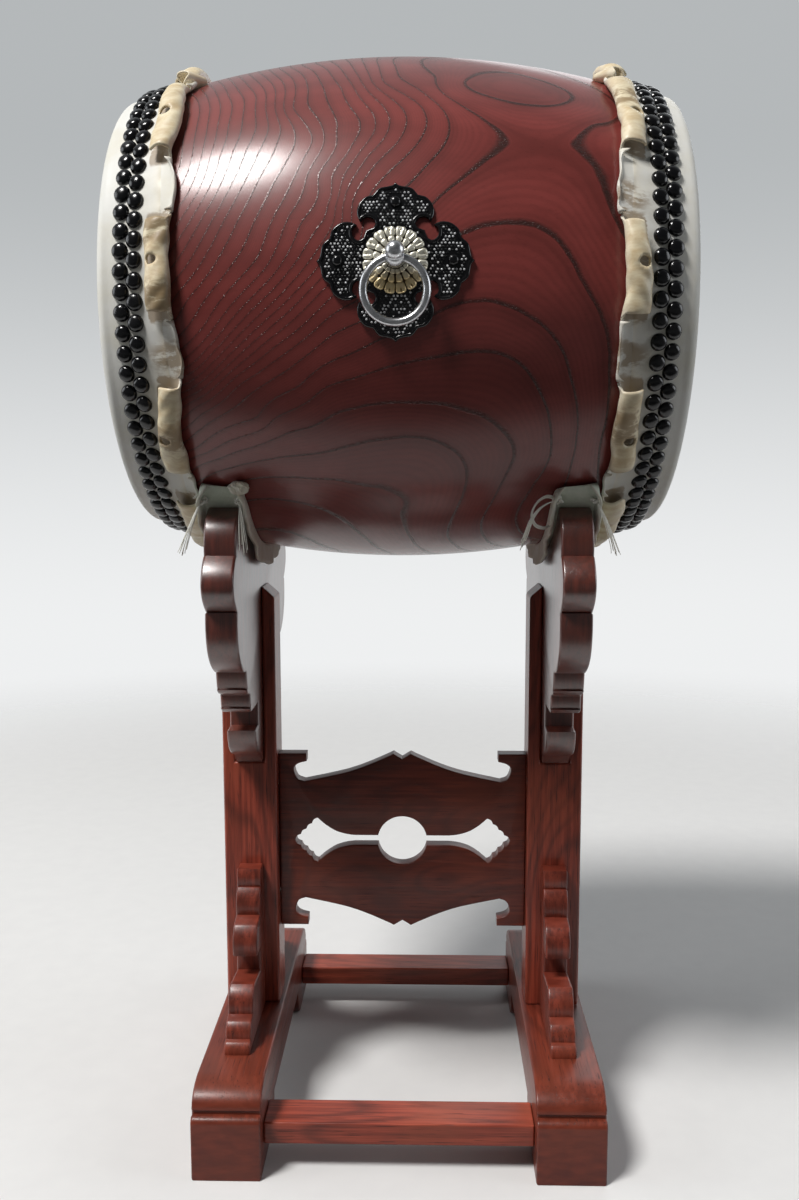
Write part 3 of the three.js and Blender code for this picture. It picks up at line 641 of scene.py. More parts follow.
def slotted(round_angle, turn, slots):
    """The roll's points, drawn onto the rims of its slots, and which of them a slot takes away."""
    seat = barrel_radius(roll_centre)
    taken = np.zeros(turn.shape, bool)
    for slot in slots:
        across = way_from(round_angle, slot) * seat / slot_width
        along = (turn - slot_turn) * roll_radius / slot_height
        out = np.hypot(across, along)
        near = (out > rim_from) & (out < rim_to)
        scale = np.where(near, 1 / np.maximum(out, never_zero), 1)
        round_angle = round_angle + across * (scale - 1) * slot_width / seat
        turn = turn + along * (scale - 1) * slot_height / roll_radius
        taken |= out <= rim_to
    return round_angle, turn, taken


def drawn_over(sign, around, flaps):
    """Rows of points from the flat skin over the barrel's lip and along the skirt to the hem."""
    outer_x = half_length + hide_outside
    rows = [on_drum(sign * outer_x, share * lip_centre, around) for share in membrane_shares]
    bow = mouth_round + hide_outside
    for bend in np.linspace(0, math.pi / 2, bend_rows):
        x = half_length - mouth_round + bow * math.cos(bend)
        rows.append(on_drum(sign * x, lip_centre + bow * math.sin(bend), around))
    hem_start = np.abs(hem_place(sign, around, 0 * around, flat_at(around, flaps))[:, 0])
    for share in np.linspace(0, 1, skirt_rows + 1)[1:]:
        x = half_length - mouth_round + (hem_start - half_length + mouth_round) * share
        gather = share**2 * wander(around, sign, *gather_wander)
        rows.append(on_drum(sign * x, barrel_radius(x) + hide_outside + gather, around))
    return np.array(rows)


def unit(vectors):
    """Vectors with their lengths made 1."""
    return vectors / np.linalg.norm(vectors, axis=-1, keepdims=True)


def dried_curl(sign, towards_back):
    """A corner of the hem that stands up near the top as a funnel, open at one end."""
    open_angle, far_angle = (math.pi - a if towards_back else a for a in (ear_angle, ear_far_angle))
    mouth = on_drum(sign * ear_x, barrel_radius(ear_x) + hide_outside + ear_lift, open_angle)
    tail = on_drum(sign * ear_far_x, barrel_radius(ear_far_x) + ear_far_lift, far_angle)
    axis = mouth - tail
    first = unit(np.cross(axis, mouth - on_drum(sign * ear_x, 0, open_angle)))
    second = unit(np.cross(first, axis))
    ear_turns = np.linspace(ear_start, ear_end, ear_columns)
    turn, along = np.meshgrid(ear_turns, np.linspace(0, 1, ear_rows))
    flare = 1 + ear_uneven * (turn - 2) + ear_uneven * np.sin(3 * turn)
    flare = flare * (ear_tail + (1 - ear_tail) * np.sqrt(along))
    shift = along * (1 + ear_slant * np.sin(2 * turn + 1.0) * along)
    points = tail + shift[..., None] * axis
    points = points + (ear_radius * flare * np.cos(turn))[..., None] * first
    points = points + (ear_radius * flare * np.sin(turn))[..., None] * second
    return points.reshape(-1, 3), net_faces(ear_rows, ear_columns, closed_columns=False)


def gathered(parts):
    """Many (points, faces) as one."""
    points, faces, start = [], [], 0
    for some, more in parts:
        points.append(some)
        faces += [tuple(start + i for i in face) for face in more]
        start += len(some)
    return np.vstack(points), faces


def reworked(mesh, rework):
    """Changes a mesh's points and faces in place."""
    shape = bmesh.new()
    shape.from_mesh(mesh)
    rework(shape)
    shape.to_mesh(mesh)
    shape.free()


def loose_points_gone(shape):
    loose = [vertex for vertex in shape.verts if not vertex.link_faces]
    bmesh.ops.delete(shape, geom=loose, context="VERTS")


def thickened(piece, thickness, offset):
    skin = piece.modifiers.new("skin", "SOLIDIFY")
    skin.thickness, skin.offset = thickness, offset


def hide_look(wires):
    dried = wires.node("Attribute", attribute_name="dried", out="Fac")
    stain_and_shade = wires.node("Attribute", attribute_name="stain_and_shade", out="Fac")
    blotch = clouds(wires, 22.0, 4.0, 0.6)
    fine = clouds(wires, 260.0, 3.0, 0.6)
    veins = clouds(wires, (30, 90, 90), 4.0, 0.65)
    clean = blend(wires, blotch.between(0.35, 0.75), (0.8, 0.8, 0.76), (0.75, 0.73, 0.64))
    yellow = blend(wires, veins.between(0.3, 0.72), (0.86, 0.76, 0.53), (0.64, 0.48, 0.26))
    shade = blend(wires, dried * (0.72 + blotch * 0.45), clean, yellow)
    # Real stains and painted shade both go towards brown: the mask holds the stains and the shade
    # painted under and inside the rolls.
    stain_and_shade_mask = (stain_and_shade * (0.2 + veins.between(0.35, 0.6) * 1.1)).between(0.1, 0.9)
    shade = blend(wires, stain_and_shade_mask * 0.75, shade, (0.27, 0.18, 0.09))
    return {
        "Base Color": shade,
        "Roughness": 0.5 - dried * 0.1 + fine * 0.1,
        "Normal": raised(wires, fine * 0.25 + veins * dried + blotch * 0.6, 0.7 * mm, 0.55),
        "Coat Weight": 0.12,
        "Coat Roughness": 0.3,
    }


hide_finish = finish_of("cowhide", hide_look)
around = full_turn(hide_columns)
for side, sign in side_signs.items():
    flaps = [(angle_at(first), angle_at(last)) for first, last in flaps_px[side]]
    far_flap = math.pi + far_flap_shift
    flaps += [(far_flap - start, far_flap - end) for start, end in flaps]
    flaps += [(place - ear_gap, place + ear_gap) for place in (ear_angle, math.pi - ear_angle)]
    slots = [angle_at(pixel) for pixel in slots_px[side]]
    slots += [far_slot + slot_pitch * step for step in range(far_slots)]
    slots = [slot for slot in slots if flat_at(np.array(slot), flaps) < slotted_below]

    round_angle, turn_share = np.meshgrid(around, np.linspace(0, 1, roll_rows + 1)[1:])
    flat = flat_at(round_angle, flaps)
    curl = roll_turn + wander(round_angle, sign, *curl_wander)
    torn = (flat > torn_from) & (flat < torn_to) & (turn_share > torn_above)
    turn = turn_share * (curl + (flap_turn - curl) * flat)
    round_angle, turn, taken = slotted(round_angle, turn, slots)
    flat = flat_at(round_angle, flaps)
    skirt = drawn_over(sign, around, flaps)
    points = np.vstack([skirt, hem_place(sign, round_angle, turn, flat)])
    cut = np.vstack([np.zeros(skirt.shape[:2], bool), taken | torn]).ravel()
    faces = [face for face in net_faces(len(points), hide_columns) if not all(cut[i] for i in face)]
    faces.append(tuple(range(hide_columns))[::-1])
    if sign < 0:
        faces = [face[::-1] for face in faces]
    head = piece_of(f"hide_{side}", points, faces, hide_finish, 70)

    dried = np.zeros(points.shape[:2])
    dried[-roll_rows:] = np.clip(turn / dried_turn, 0, 1) * (1 - flap_paleness * flat)
    dried[-roll_rows - len(edge_dryness) : -roll_rows] = np.array(edge_dryness)[:, None]
    stain_and_shade = np.zeros(points.shape[:2])
    reach_in = np.linspace(faintest_stain, 1, stained_rows)[:, None]
    for pixel in stains_px[side]:
        for place in (angle_at(pixel), math.pi - angle_at(pixel) + far_stain_shift):
            stain_and_shade[-roll_rows:] += nearness(round_angle, place, stain_width)
            spot = nearness(around, place, stained_skirt_width) * flat_at(around, flaps)
            stain_and_shade[-roll_rows - stained_rows : -roll_rows] += reach_in * spot
    # Painted shade: the foot of each roll and the skirt under the rolls are browned where the rolls
    # shade them.
    stain_and_shade[-roll_rows:] += roll_foot_shade * (turn < shaded_turn) * (1 - flat)
    stain_and_shade[-roll_rows - foot_rows : -roll_rows] += roll_foot_shade * (1 - flat_at(around, flaps))
    marked(head, "dried", dried)
    marked(head, "stain_and_shade", stain_and_shade)
    reworked(head.data, loose_points_gone)
    thickened(head, skin_thickness, -1)
    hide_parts(f"head_{side}")
    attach(head, "drum")

    points, faces = gathered([dried_curl(sign, towards_back) for towards_back in (False, True)])
    ears = piece_of(f"hide_ears_{side}", points, faces, hide_finish, 70)
    marked(ears, "dried", np.full(len(points), ear_dryness))
    thickened(ears, ear_thickness, 0)
    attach(ears, "drum")

# The tacks: domed iron tacks, black and polished, driven side by side through the hide. Two
# rows of 78 on each head stand so close that they touch; each was hammered a little askew.
tack_count = 78
tack_radius = 8.9 * mm
tack_height = 6.3 * mm
tack_rows = [(272.2 * mm, 0.0), (257.5 * mm, 0.5)]  # distance from the middle, shift in tacks
tack_lift, tack_lean = 0.2 * mm, 0.035
dome_shares = [(1, 0), (1, 0.12), (0.965, 0.3), (0.88, 0.54), (0.73, 0.76), (0.52, 0.91), (0.27, 0.98)]
dome_sides = 20


def dome_net(sides=dome_sides, shares=dome_shares):
    """A closed dome of radius 1 and height 1 standing on its flat foot."""
    turns = full_turn(sides)
    rows = [np.column_stack([r * np.cos(turns), r * np.sin(turns), 0 * turns + h]) for r, h in shares]
    points = np.vstack([*rows, [(0, 0, 1)]])
    faces = net_faces(len(shares), sides)
    top = (len(shares) - 1) * sides
    faces += [(top + i, top + (i + 1) % sides, len(points) - 1) for i in range(sides)]
    faces.append(tuple(range(sides))[::-1])
    return points, faces


# Black iron, dusty iron, and the near-white of the painted glints on the plate's dots.
iron_black, iron_dusty, glint_white = (0.004, 0.004, 0.005), (0.009, 0.009, 0.01), (0.85, 0.86, 0.88)


def black_look(wires):
    painted_gleam = wires.node("Attribute", attribute_name="painted_gleam", out="Fac")
    grain = clouds(wires, 160.0, 4.0)
    dust = clouds(wires, 34.0, 3.0).between(0.5, 0.75)
    return {
        # Painted highlight: the marked dots are mixed towards near-white, a glint painted on their tops.
        "Base Color": blend(wires, painted_gleam, blend(wires, dust, iron_black, iron_dusty), glint_white),
        "Roughness": 0.12 + grain * 0.12 + dust * 0.08,
        "Normal": raised(wires, grain, 0.2 * mm, 0.3),
    }


black_finish = finish_of("black_iron", black_look)
dome_points, dome_faces = dome_net()
for side, sign in side_signs.items():
    tack_random = np.random.default_rng(31 + sign)
    tacks = []
    for row_x, shift in tack_rows:
        seat = barrel_radius(row_x) + hide_outside + tack_lift
        slope = barrel_slope(row_x)
        for index in range(tack_count):
            angle = 2 * math.pi * (index + shift) / tack_count
            out = Vector((sign * math.sin(slope), 0, math.cos(slope)))
            lean = Vector(tack_random.normal(0, tack_lean, 3))
            turned = (out + lean).to_track_quat("Z", "X").to_matrix()
            size = tack_radius * tack_random.uniform(0.965, 1.0)
            dome = dome_points * (size, size, tack_height * tack_random.uniform(0.93, 1.0))
            dome = dome @ np.array(turned).T
            x, flat_y, height = sign * row_x + dome[:, 0], dome[:, 1], seat + dome[:, 2]
            place = on_drum(x, np.hypot(flat_y, height), angle + np.arctan2(flat_y, height))
            tacks.append((place, dome_faces))
    points, faces = gathered(tacks)
    studs = piece_of(f"tack_heads_{side}", points, faces, black_finish, 50)
    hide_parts(f"tacks_{side}")
    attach(studs, "drum")

# The ring fittings, front and back: a cross plate of black iron bent to the barrel, with a raised
# rim, punched dots and four studs, and on it a rosette, an eye post and the hanging ring.
plate_reach = 75 * mm
plate_thickness = 2.5 * mm
plate_rim, rim_sides, rim_squash = 1.7 * mm, 8, 0.8
stud_place, stud_radius, stud_height = 55 * mm, 5.3 * mm, 4.4 * mm
low_stud_height = 2.8 * mm  # the bottom stud is driven flatter, to clear the ring as it swings
dot_pitch, dot_radius, dot_height = 3.5 * mm, 1.15 * mm, 1.0 * mm
dot_row_pitch, dot_strays, dot_sunk = 0.866 * dot_pitch, 0.28 * mm, 0.05 * mm
rosette_radius = 31.5 * mm
plate_strip, strip_start = 5 * mm, 1.3 * mm
dot_room, rosette_room, stud_room = 4.6 * mm, 0.8 * mm, 2.4 * mm  # that the dots keep to the rest
# One eighth of the plate's outline, from a lobe's point to the corner between two lobes.
point_shares = [(0, 1), (0.04, 0.962), (0.1, 0.945), (0.21, 0.92), (0.285, 0.83)]
shoulder_shares = [(0.285, 0.83), (0.39, 0.8), (0.47, 0.7), (0.485, 0.58), (0.445, 0.485)]
hook_shares = [(0.445, 0.485), (0.385, 0.54), (0.3, 0.535), (0.25, 0.47), (0.275, 0.405)]
corner_share = (0.37, 0.37)

eighth = np.vstack(
    [smooth_route(run, 14)[:-1] for run in (point_shares, shoulder_shares, hook_shares)]
    + [[hook_shares[-1], corner_share]]
)
quarter = np.vstack([eighth, eighth[-2:0:-1, ::-1]])
quarter_turns = [np.array(((1, 0), (0, 1))), np.array(((0, -1), (1, 0)))]
quarter_turns += [-quarter_turns[0], -quarter_turns[1]]
plate_outline = np.vstack([quarter @ turn for turn in quarter_turns]) * plate_reach


def on_fitting(points, forward):
    """Points (u, v, height over the wood) of a fitting's own plane, laid on the barrel."""
    u, v, height = np.asarray(points).T
    angle = v / belly_radius if forward > 0 else math.pi - v / belly_radius
    return on_drum(forward * u, barrel_radius(u) + fit + height, angle)


def inward(outline, distance):
    """A closed outline moved towards its inside."""
    step = unit(np.roll(outline, -1, 0) - np.roll(outline, 1, 0))
    return outline + distance * np.column_stack([step[:, 1], -step[:, 0]])


def inside(points, outline):
    """Whether points lie inside a closed outline, by the crossings of a line to the right."""
    ends = np.roll(outline, -1, 0)
    u, v = points[:, :1], points[:, 1:2]
    spans = (outline[:, 1] > v) != (ends[:, 1] > v)
    rise = ends[:, 1] - outline[:, 1]
    rise = np.where(rise == 0, never_zero, rise)
    crossing = outline[:, 0] + (v - outline[:, 1]) / rise * (ends[:, 0] - outline[:, 0])
    return (spans & (u < crossing)).sum(axis=1) % 2 == 1


def plate_blank():
    """The flat plate, cut into narrow strips so that it can bend."""
    shape = bmesh.new()
    ring = [shape.verts.new((u, v, 0)) for u, v in plate_outline]
    face = shape.faces.new(ring)
    lifted = bmesh.ops.extrude_face_region(shape, geom=[face])["geom"]
    top = [vertex for vertex in lifted if isinstance(vertex, bmesh.types.BMVert)]
    bmesh.ops.translate(shape, verts=top, vec=(0, 0, plate_thickness))
    bmesh.ops.recalc_face_normals(shape, faces=shape.faces)
    for axis in (0, 1):
        for place in np.arange(-plate_reach, plate_reach, plate_strip) + strip_start:
            normal = [0, 0, 0]
            normal[axis] = 1
            bmesh.ops.bisect_plane(
                shape,
                geom=[*shape.verts, *shape.edges, *shape.faces],
                dist=0.001 * mm,
                plane_co=[place * n for n in normal],
                plane_no=normal,
            )
    bmesh.ops.triangulate(shape, faces=[face for face in shape.faces if len(face.verts) > 4])
    shape.verts.index_update()
    points = np.array([vertex.co for vertex in shape.verts])
    faces = [tuple(vertex.index for vertex in face.verts) for face in shape.faces]
    shape.free()
    return points, faces


def tube_net(path, radius, sides, squash):
    """A closed tube along a closed path in the plane of a fitting."""
    step = unit(np.roll(path[:, :2], -1, 0) - np.roll(path[:, :2], 1, 0))
    across = np.column_stack([step[:, 1], -step[:, 0], 0 * step[:, 0]])
    turns = full_turn(sides)
    points = (
        path[:, None]
        + radius * np.cos(turns)[None, :, None] * across[:, None]
        + radius * squash * np.sin(turns)[None, :, None] * np.array((0, 0, 1.0))
    )
    return points.reshape(-1, 3), net_faces(len(path), sides, True)


stud_places = [(0, 1), (0, -1), (1, 0), (-1, 0)]
stud_names = ["top", "bottom", "right", "left"]
rim_path = inward(plate_outline, plate_rim)
rim_path = np.column_stack([rim_path, 0 * rim_path[:, 0] + plate_thickness])
rows_up = np.arange(-plate_reach, plate_reach, dot_row_pitch)
dot_grid = np.array(
    [
        (u + (row % 2) * dot_pitch / 2, v)
        for row, v in enumerate(rows_up)
        for u in np.arange(-plate_reach, plate_reach, dot_pitch)
    ]
)
dot_grid += np.random.default_rng(8).uniform(-dot_strays, dot_strays, dot_grid.shape)
edge_room = np.linalg.norm(dot_grid[:, None] - plate_outline[None], axis=2).min(axis=1)
keep = inside(dot_grid, plate_outline) & (edge_room > dot_room)
keep &= np.hypot(*dot_grid.T) > rosette_radius + rosette_room
for u, v in stud_places:
    from_stud = np.hypot(dot_grid[:, 0] - u * stud_place, dot_grid[:, 1] - v * stud_place)
    keep &= from_stud > stud_radius + stud_room
small_dome = dome_net(8, [(1, 0), (0.86, 0.5), (0.5, 0.87)])
plate_parts = [plate_blank(), tube_net(rim_path, plate_rim, rim_sides, rim_squash)]
for u, v in dot_grid[keep]:
    dot = small_dome[0] * (dot_radius, dot_radius, dot_height)
    plate_parts.append((dot + (u, v, plate_thickness - dot_sunk), small_dome[1]))
plate_points, plate_faces = gathered(plate_parts)
# Painted glints: about half the dots, picked at random, are marked to be painted near-white like a
# highlight.
glint_random = np.random.default_rng(17)
dot_glints = np.where(glint_random.random(keep.sum()) < 0.5, glint_random.uniform(0.5, 1, keep.sum()), 0)
plate_glints = np.zeros(len(plate_points))
plate_glints[-keep.sum() * len(small_dome[0]) :] = np.repeat(dot_glints, len(small_dome[0]))

petal_shares = [(1, 0), (1, 0.3), (0.93, 0.6), (0.8, 0.82), (0.6, 0.95), (0.35, 1)]
petal_fullness = 2.8  # 2 would be an ellipse, more is squarer


def petal(distance, angle, length, width, foot, height, taper, crease):
    """A petal's dome that points away from the middle, broader outwards, creased along its length."""
    points, faces = dome_net(20, petal_shares)
    u, v, h = points.T
    size = np.abs(u) ** petal_fullness + np.abs(v) ** petal_fullness + 1e-9
    full = np.where(np.hypot(u, v) > 0.01, size ** (-1 / petal_fullness) * np.hypot(u, v), 1)
    u, v = u * full, v * full
    h = h * (1 - crease * np.exp(-((v / 0.2) ** 2)) * np.clip(u + 0.7, 0, 1))
    shaped = [distance + u * length / 2, v * (1 + taper * u) * width / 2, foot + h * height]
    return np.column_stack(shaped) @ np.array(Matrix.Rotation(angle, 3, "Z")).T, faces


rosette_seat = plate_thickness + fit
petal_count = 16
disc_rise, disc_sides, disc_shares = 0.9, 48, [(1, 0), (1, 0.7), (0.9, 1)]
# Each tier of petals, in mm: distance from the middle, length, width, foot, height, then the
# shares by which it broadens outwards and by which its crease is sunk.
rosette_tiers = [
    (25.6, 11.4, 10.4, 0.3, 3.9, 0.16, 0.6),
    (17.2, 9.0, 6.2, 2.0, 3.6, 0.3, 0),
    (11.4, 5.6, 4.9, 3.6, 3.2, 0.2, 0),
]
rosette_parts = []
for distance, length, width, foot, height, taper, crease in rosette_tiers:
    disc_points, disc_faces = dome_net(disc_sides, disc_shares)
    disc_size = (distance * mm, distance * mm, (foot + disc_rise) * mm)
    rosette_parts.append((disc_points * disc_size + (0, 0, rosette_seat), disc_faces))
    for index in range(petal_count):
        angle = 2 * math.pi * (index + 0.5) / petal_count
        sizes = [value * mm for value in (length, width, foot, height)]
        made, faces = petal(distance * mm, angle, *sizes, taper, crease)
        rosette_parts.append((made + (0, 0, rosette_seat), faces))
rosette_points, rosette_faces = gathered(rosette_parts)


def gilt_look(wires):
    # Darker brown in the crevices, by how closed in the Ambient Occlusion node finds them.
    crevice = wires.node("AmbientOcclusion", {"Distance": 3 * mm}, out="AO")
    grain = clouds(wires, 220.0, 3.0)
    height = wires.node("SeparateXYZ", {0: place_on(wires)}, out=2)
    # Painted reflection and shade: below the fitting's middle the gilt is painted a deeper gold, above
    # it paler.
    painted_low_gold = height.between(axis_height + 14 * mm, axis_height - 4 * mm) * (0.6 + grain * 0.6)
    painted_gleam = blend(wires, grain, (0.95, 0.93, 0.84), (0.84, 0.8, 0.64))
    painted_gleam = blend(wires, painted_low_gold, painted_gleam, (0.82, 0.64, 0.33))
    return {
        "Base Color": blend(wires, crevice.between(0.8, 0.3), painted_gleam, (0.06, 0.035, 0.015)),
        "Metallic": 0.7,
        "Roughness": 0.26 + grain * 0.14,
        "Normal": raised(wires, grain, 0.3 * mm, 0.4),
    }


def pewter_look(wires):
    scratches = clouds(wires, (90, 260, 260), 4.0)
    cloudy = clouds(wires, 60.0, 3.0)
    return {
        "Base Color": blend(wires, cloudy.between(0.3, 0.7), (0.5, 0.51, 0.53), (0.66, 0.67, 0.69)),
        "Metallic": 0.95,
        "Roughness": 0.2 + scratches * 0.16,
        "Normal": raised(wires, scratches + cloudy, 0.3 * mm, 0.4),
    }


gilt_finish = finish_of("pale_gilt", gilt_look)
pewter_finish = finish_of("pewter", pewter_look)
eye_radius, knob_radius, shank_radius = 10.5 * mm, 9.25 * mm, 5 * mm
pivot_standoff, knob_rise, knob_reach = 16 * mm, 4 * mm, 6.5 * mm
ring_radius, ring_wire = 30 * mm, 4 * mm
eye_bore = 6.2 * mm
collar_radius, collar_start, shank_end = 7.5 * mm, 2 * mm, 54 * mm
eye_grain = 0.55 * mm  # size of the cells in which the eye, knob and shank are made one body
hoop_columns, hoop_sides, rod_sides = 120, 24, 32


def ball_net(centre, radius, sides=40, rows=24):
    turns = full_turn(sides)[None]
    tilts = np.linspace(0, math.pi, rows + 1)[1:-1, None]
    shell = np.stack(
        [np.sin(tilts) * np.cos(turns), np.sin(tilts) * np.sin(turns), np.cos(tilts) + 0 * turns], -1
    )
    points = np.vstack([shell.reshape(-1, 3), [(0, 0, 1), (0, 0, -1)]]) * radius + centre
    faces = [face[::-1] for face in net_faces(rows - 1, sides)]
    last = (rows - 2) * sides
    faces += [(len(points) - 2, i, (i + 1) % sides) for i in range(sides)]
    faces += [(len(points) - 1, last + (i + 1) % sides, last + i) for i in range(sides)]
    return points, faces


def rod_net(start, end, radius):
    """A closed round rod between two points."""
    start, end = Vector(start), Vector(end)
    turned = np.array((end - start).to_track_quat("Z", "X").to_matrix())
    turns = full_turn(rod_sides)
    circle = np.column_stack([np.cos(turns), np.sin(turns), 0 * turns]) * radius @ turned.T
    faces = net_faces(2, rod_sides)
    faces += [tuple(range(rod_sides))[::-1], tuple(range(rod_sides, 2 * rod_sides))]
    return np.vstack([circle + np.array(start), circle + np.array(end)]), faces


def settled(made):
    """The piece with its modifiers worked into its mesh."""
    ready = made.evaluated_get(bpy.context.evaluated_depsgraph_get())
    data = bpy.data.meshes.new_from_object(ready)
    made.modifiers.clear()
    made.data = data
    return made


for end, forward in end_signs.items():
    for name, points, faces, finish, slot in (
        ("ring_plate", plate_points, plate_faces, black_finish, "black_iron"),
        ("rosette", rosette_points, rosette_faces, gilt_finish, "gilt_metal"),
    ):
        laid = piece_of(f"{name}_{end}_made", on_fitting(points, forward), faces, finish, 45)
        if name == "ring_plate":
            marked(laid, "painted_gleam", plate_glints)
        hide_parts(f"{name}_{end}")
        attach(laid, "drum")
    for (u, v), where in zip(stud_places, stud_names):
        rise = low_stud_height if where == "bottom" else stud_height
        stud_points = dome_points * (stud_radius, stud_radius, rise)
        stud_points = stud_points + (u * stud_place, v * stud_place, plate_thickness + fit)
        laid = on_fitting(stud_points, forward)
        made = piece_of(f"stud_head_{where}_{end}", laid, dome_faces, black_finish, 50)
        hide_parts(f"stud_{where}_{end}")
        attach(made, "drum")

    ring_low, ring_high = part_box(f"ring_{end}")
    ring_middle = np.array((ring_low + ring_high) / 2)
    pivot = ring_middle + (0, 0, ring_radius)
    outward = unit(np.array((0, pivot[1], pivot[2] - axis_height)))
    above = np.cross(outward, (forward, 0, 0)) * -1
    knob_centre = pivot + outward * knob_reach + above * knob_rise * (1 if above[2] > 0 else -1)
    wood = pivot - outward * pivot_standoff
    eye_parts = [
        ball_net(pivot, eye_radius),
        ball_net(knob_centre, knob_radius),
        rod_net(wood + outward * collar_start, pivot, collar_radius),
        rod_net(wood - outward * shank_end, pivot, shank_radius),
    ]
    eye = piece_of(f"eye_{end}", *gathered(eye_parts), pewter_finish)
    mended = eye.modifiers.new("one_body", "REMESH")
    mended.mode, mended.voxel_size, mended.use_smooth_shade = "VOXEL", eye_grain, True
    eased = eye.modifiers.new("eased", "SMOOTH")
    eased.factor, eased.iterations = 0.5, 5
    settled(eye)
    beyond = np.array((3 * eye_radius, 0, 0))
    bore = piece_of(f"bore_{end}", *rod_net(pivot - beyond, pivot + beyond, eye_bore), pewter_finish)
    drilled = eye.modifiers.new("drilled", "BOOLEAN")
    drilled.operation, drilled.object, drilled.solver = "DIFFERENCE", bore, "EXACT"
    settled(eye)
    bpy.data.objects.remove(bore)
    smooth(eye, 40)
    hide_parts(f"eye_post_{end}")
    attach(eye, "drum")

    turns = full_turn(hoop_columns)[:, None]
    section = full_turn(hoop_sides)[None]
    reach = ring_radius + ring_wire * np.cos(section)
    hoop = np.stack(
        [reach * np.cos(turns), ring_wire * np.sin(section) + 0 * turns, reach * np.sin(turns)], -1
    )
    hoop_faces = net_faces(hoop_columns, hoop_sides, True)
    ring = piece_of(f"hanging_ring_{end}", hoop + ring_middle, hoop_faces, pewter_finish)
    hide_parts(f"ring_{end}")
    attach(ring, f"ring_{end}")
    for inner in ("post_washer", "post_nut"):
        dressed(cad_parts[f"{inner}_{end}"].data, black_finish)

# The stand's frame: two posts tenoned into the sleds and two low stretchers between them, planed
# from dark red hardwood and polished, with their edges eased.
post_ease, stretcher_ease = 3.2 * mm, 2 * mm
merge_distance = 0.02 * mm  # points closer than this are one corner


def toned(colour, share):
    return tuple(share * part for part in colour)


def polished_wood(along, seed, painted_light_share=1.0, swirl=2.6, gloss=0.15):
    """Dark red hardwood whose grain runs along one axis, 0, 1 or 2; the seed moves its figure. Its third
    number scales the colours of each piece: painted light and shade, above 1 for pieces in the light and
    below 1 for those in shade.
    """

    def dress(wires):
        fine, broad, end_on = (
            [lengthwise if axis == along else across for axis in range(3)]
            for across, lengthwise in ((230.0, 8.0), (11.0, swirl), (0.0, 1.0))
        )
        facing = {0: wires.node("TexCoord", out="Normal"), 1: end_on}
        facing = wires.node("VectorMath", facing, out=1, operation="DOT_PRODUCT")
        cut_end = wires.maths("ABSOLUTE", facing).between(0.7, 0.95)
        streaks = clouds(wires, fine, 4.0, 0.6)
        calm = clouds(wires, (40, 60, 150), 4.0, turn=(0.3, 0.5, 0.4))
        streaks = streaks + cut_end * (calm * 0.6 + 0.2 - streaks)
        pores = clouds(wires, [3.5 * part for part in fine], 2.0)
        swirls = clouds(wires, broad, 1.0, turn=(0.02 * seed, 0.03 * seed, 0.05 * seed))
        growth = wires.maths("FRACT", swirls * 13.0 + streaks * 0.12)
        figure = growth.between(0.0, 0.3) * growth.between(0.72, 0.3)
        wood_dark, wood_light = toned((0.14, 0.022, 0.012), painted_light_share), toned((0.29, 0.053, 0.029), painted_light_share)
        shade = blend(wires, streaks.between(0.32, 0.68), wood_dark, wood_light)
        shade = blend(wires, figure * (0.5 - cut_end * 0.35), shade, (0.05, 0.01, 0.006))
        cloudy = clouds(wires, 7.0, 3.0)
        shade = blend(wires, cloudy.between(0.4, 0.75) * 0.5, shade, toned((0.36, 0.08, 0.04), painted_light_share))
        dark = pores.between(0.6, 0.7) * (1 - cut_end)
        return {
            "Base Color": blend(wires, dark * 0.7, shade, (0.02, 0.005, 0.004)),
            "Roughness": 0.32 + streaks * 0.08 + dark * 0.1,
            "Normal": raised(wires, streaks * 0.5 - dark, 0.25 * mm, 0.3),
            "Coat Weight": gloss,
            "Coat Roughness": 0.26,
            "Specular IOR Level": 0.35 + gloss * 0.9,
        }

    return dress


# The third numbers here and below are painted light and shade: posts and stretchers lighter; sleds,
# arms, brackets and board darker.
post_finish = finish_of("post_wood", polished_wood(2, 7, 1.3))
stretcher_finish = finish_of("wood_along_x", polished_wood(0, 1, 1.5, gloss=0.1))
timbers = [(f"post_{side}", post_finish, post_ease) for side in side_signs]
timbers += [(f"stretcher_{end}", stretcher_finish, stretcher_ease) for end in end_signs]
for name, finish, ease in timbers:
    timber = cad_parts[name]
    dressed(timber.data, finish)
    timber.modifiers.new("joined", "WELD").merge_threshold = merge_distance
    flat_faces = timber.modifiers.new("flat_faces", "DECIMATE")
    flat_faces.decimate_type, flat_faces.angle_limit = "DISSOLVE", math.radians(1)
    eased = timber.modifiers.new("eased_edges", "BEVEL")
    eased.width, eased.segments = ease, 3
    eased.limit_method, eased.angle_limit = "ANGLE", math.radians(40)
    eased.harden_normals = True

# The sleds: the two feet that the posts stand in, each sawn from one thick plank with an arch
# under it, and finished at both ends with a rounded nose over a groove and a ledge.
sled_low, sled_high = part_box("sled_left")
sled_top, sled_thickness, sled_ease = sled_high.z, sled_high.x - sled_low.x, 2.4 * mm
sled_flat, nose_reach, nose_foot = 190 * mm, 228 * mm, 77 * mm
ledge_height, ledge_round, groove_depth = 72 * mm, 8 * mm, 1.6 * mm
arch_reach, arch_height, arch_run = 150 * mm, 38 * mm, 28 * mm
board_smooth_angle, round_steps = 38, 14
sled_finish = finish_of("wood_along_y", polished_wood(1, 5, 0.7, gloss=0.05))


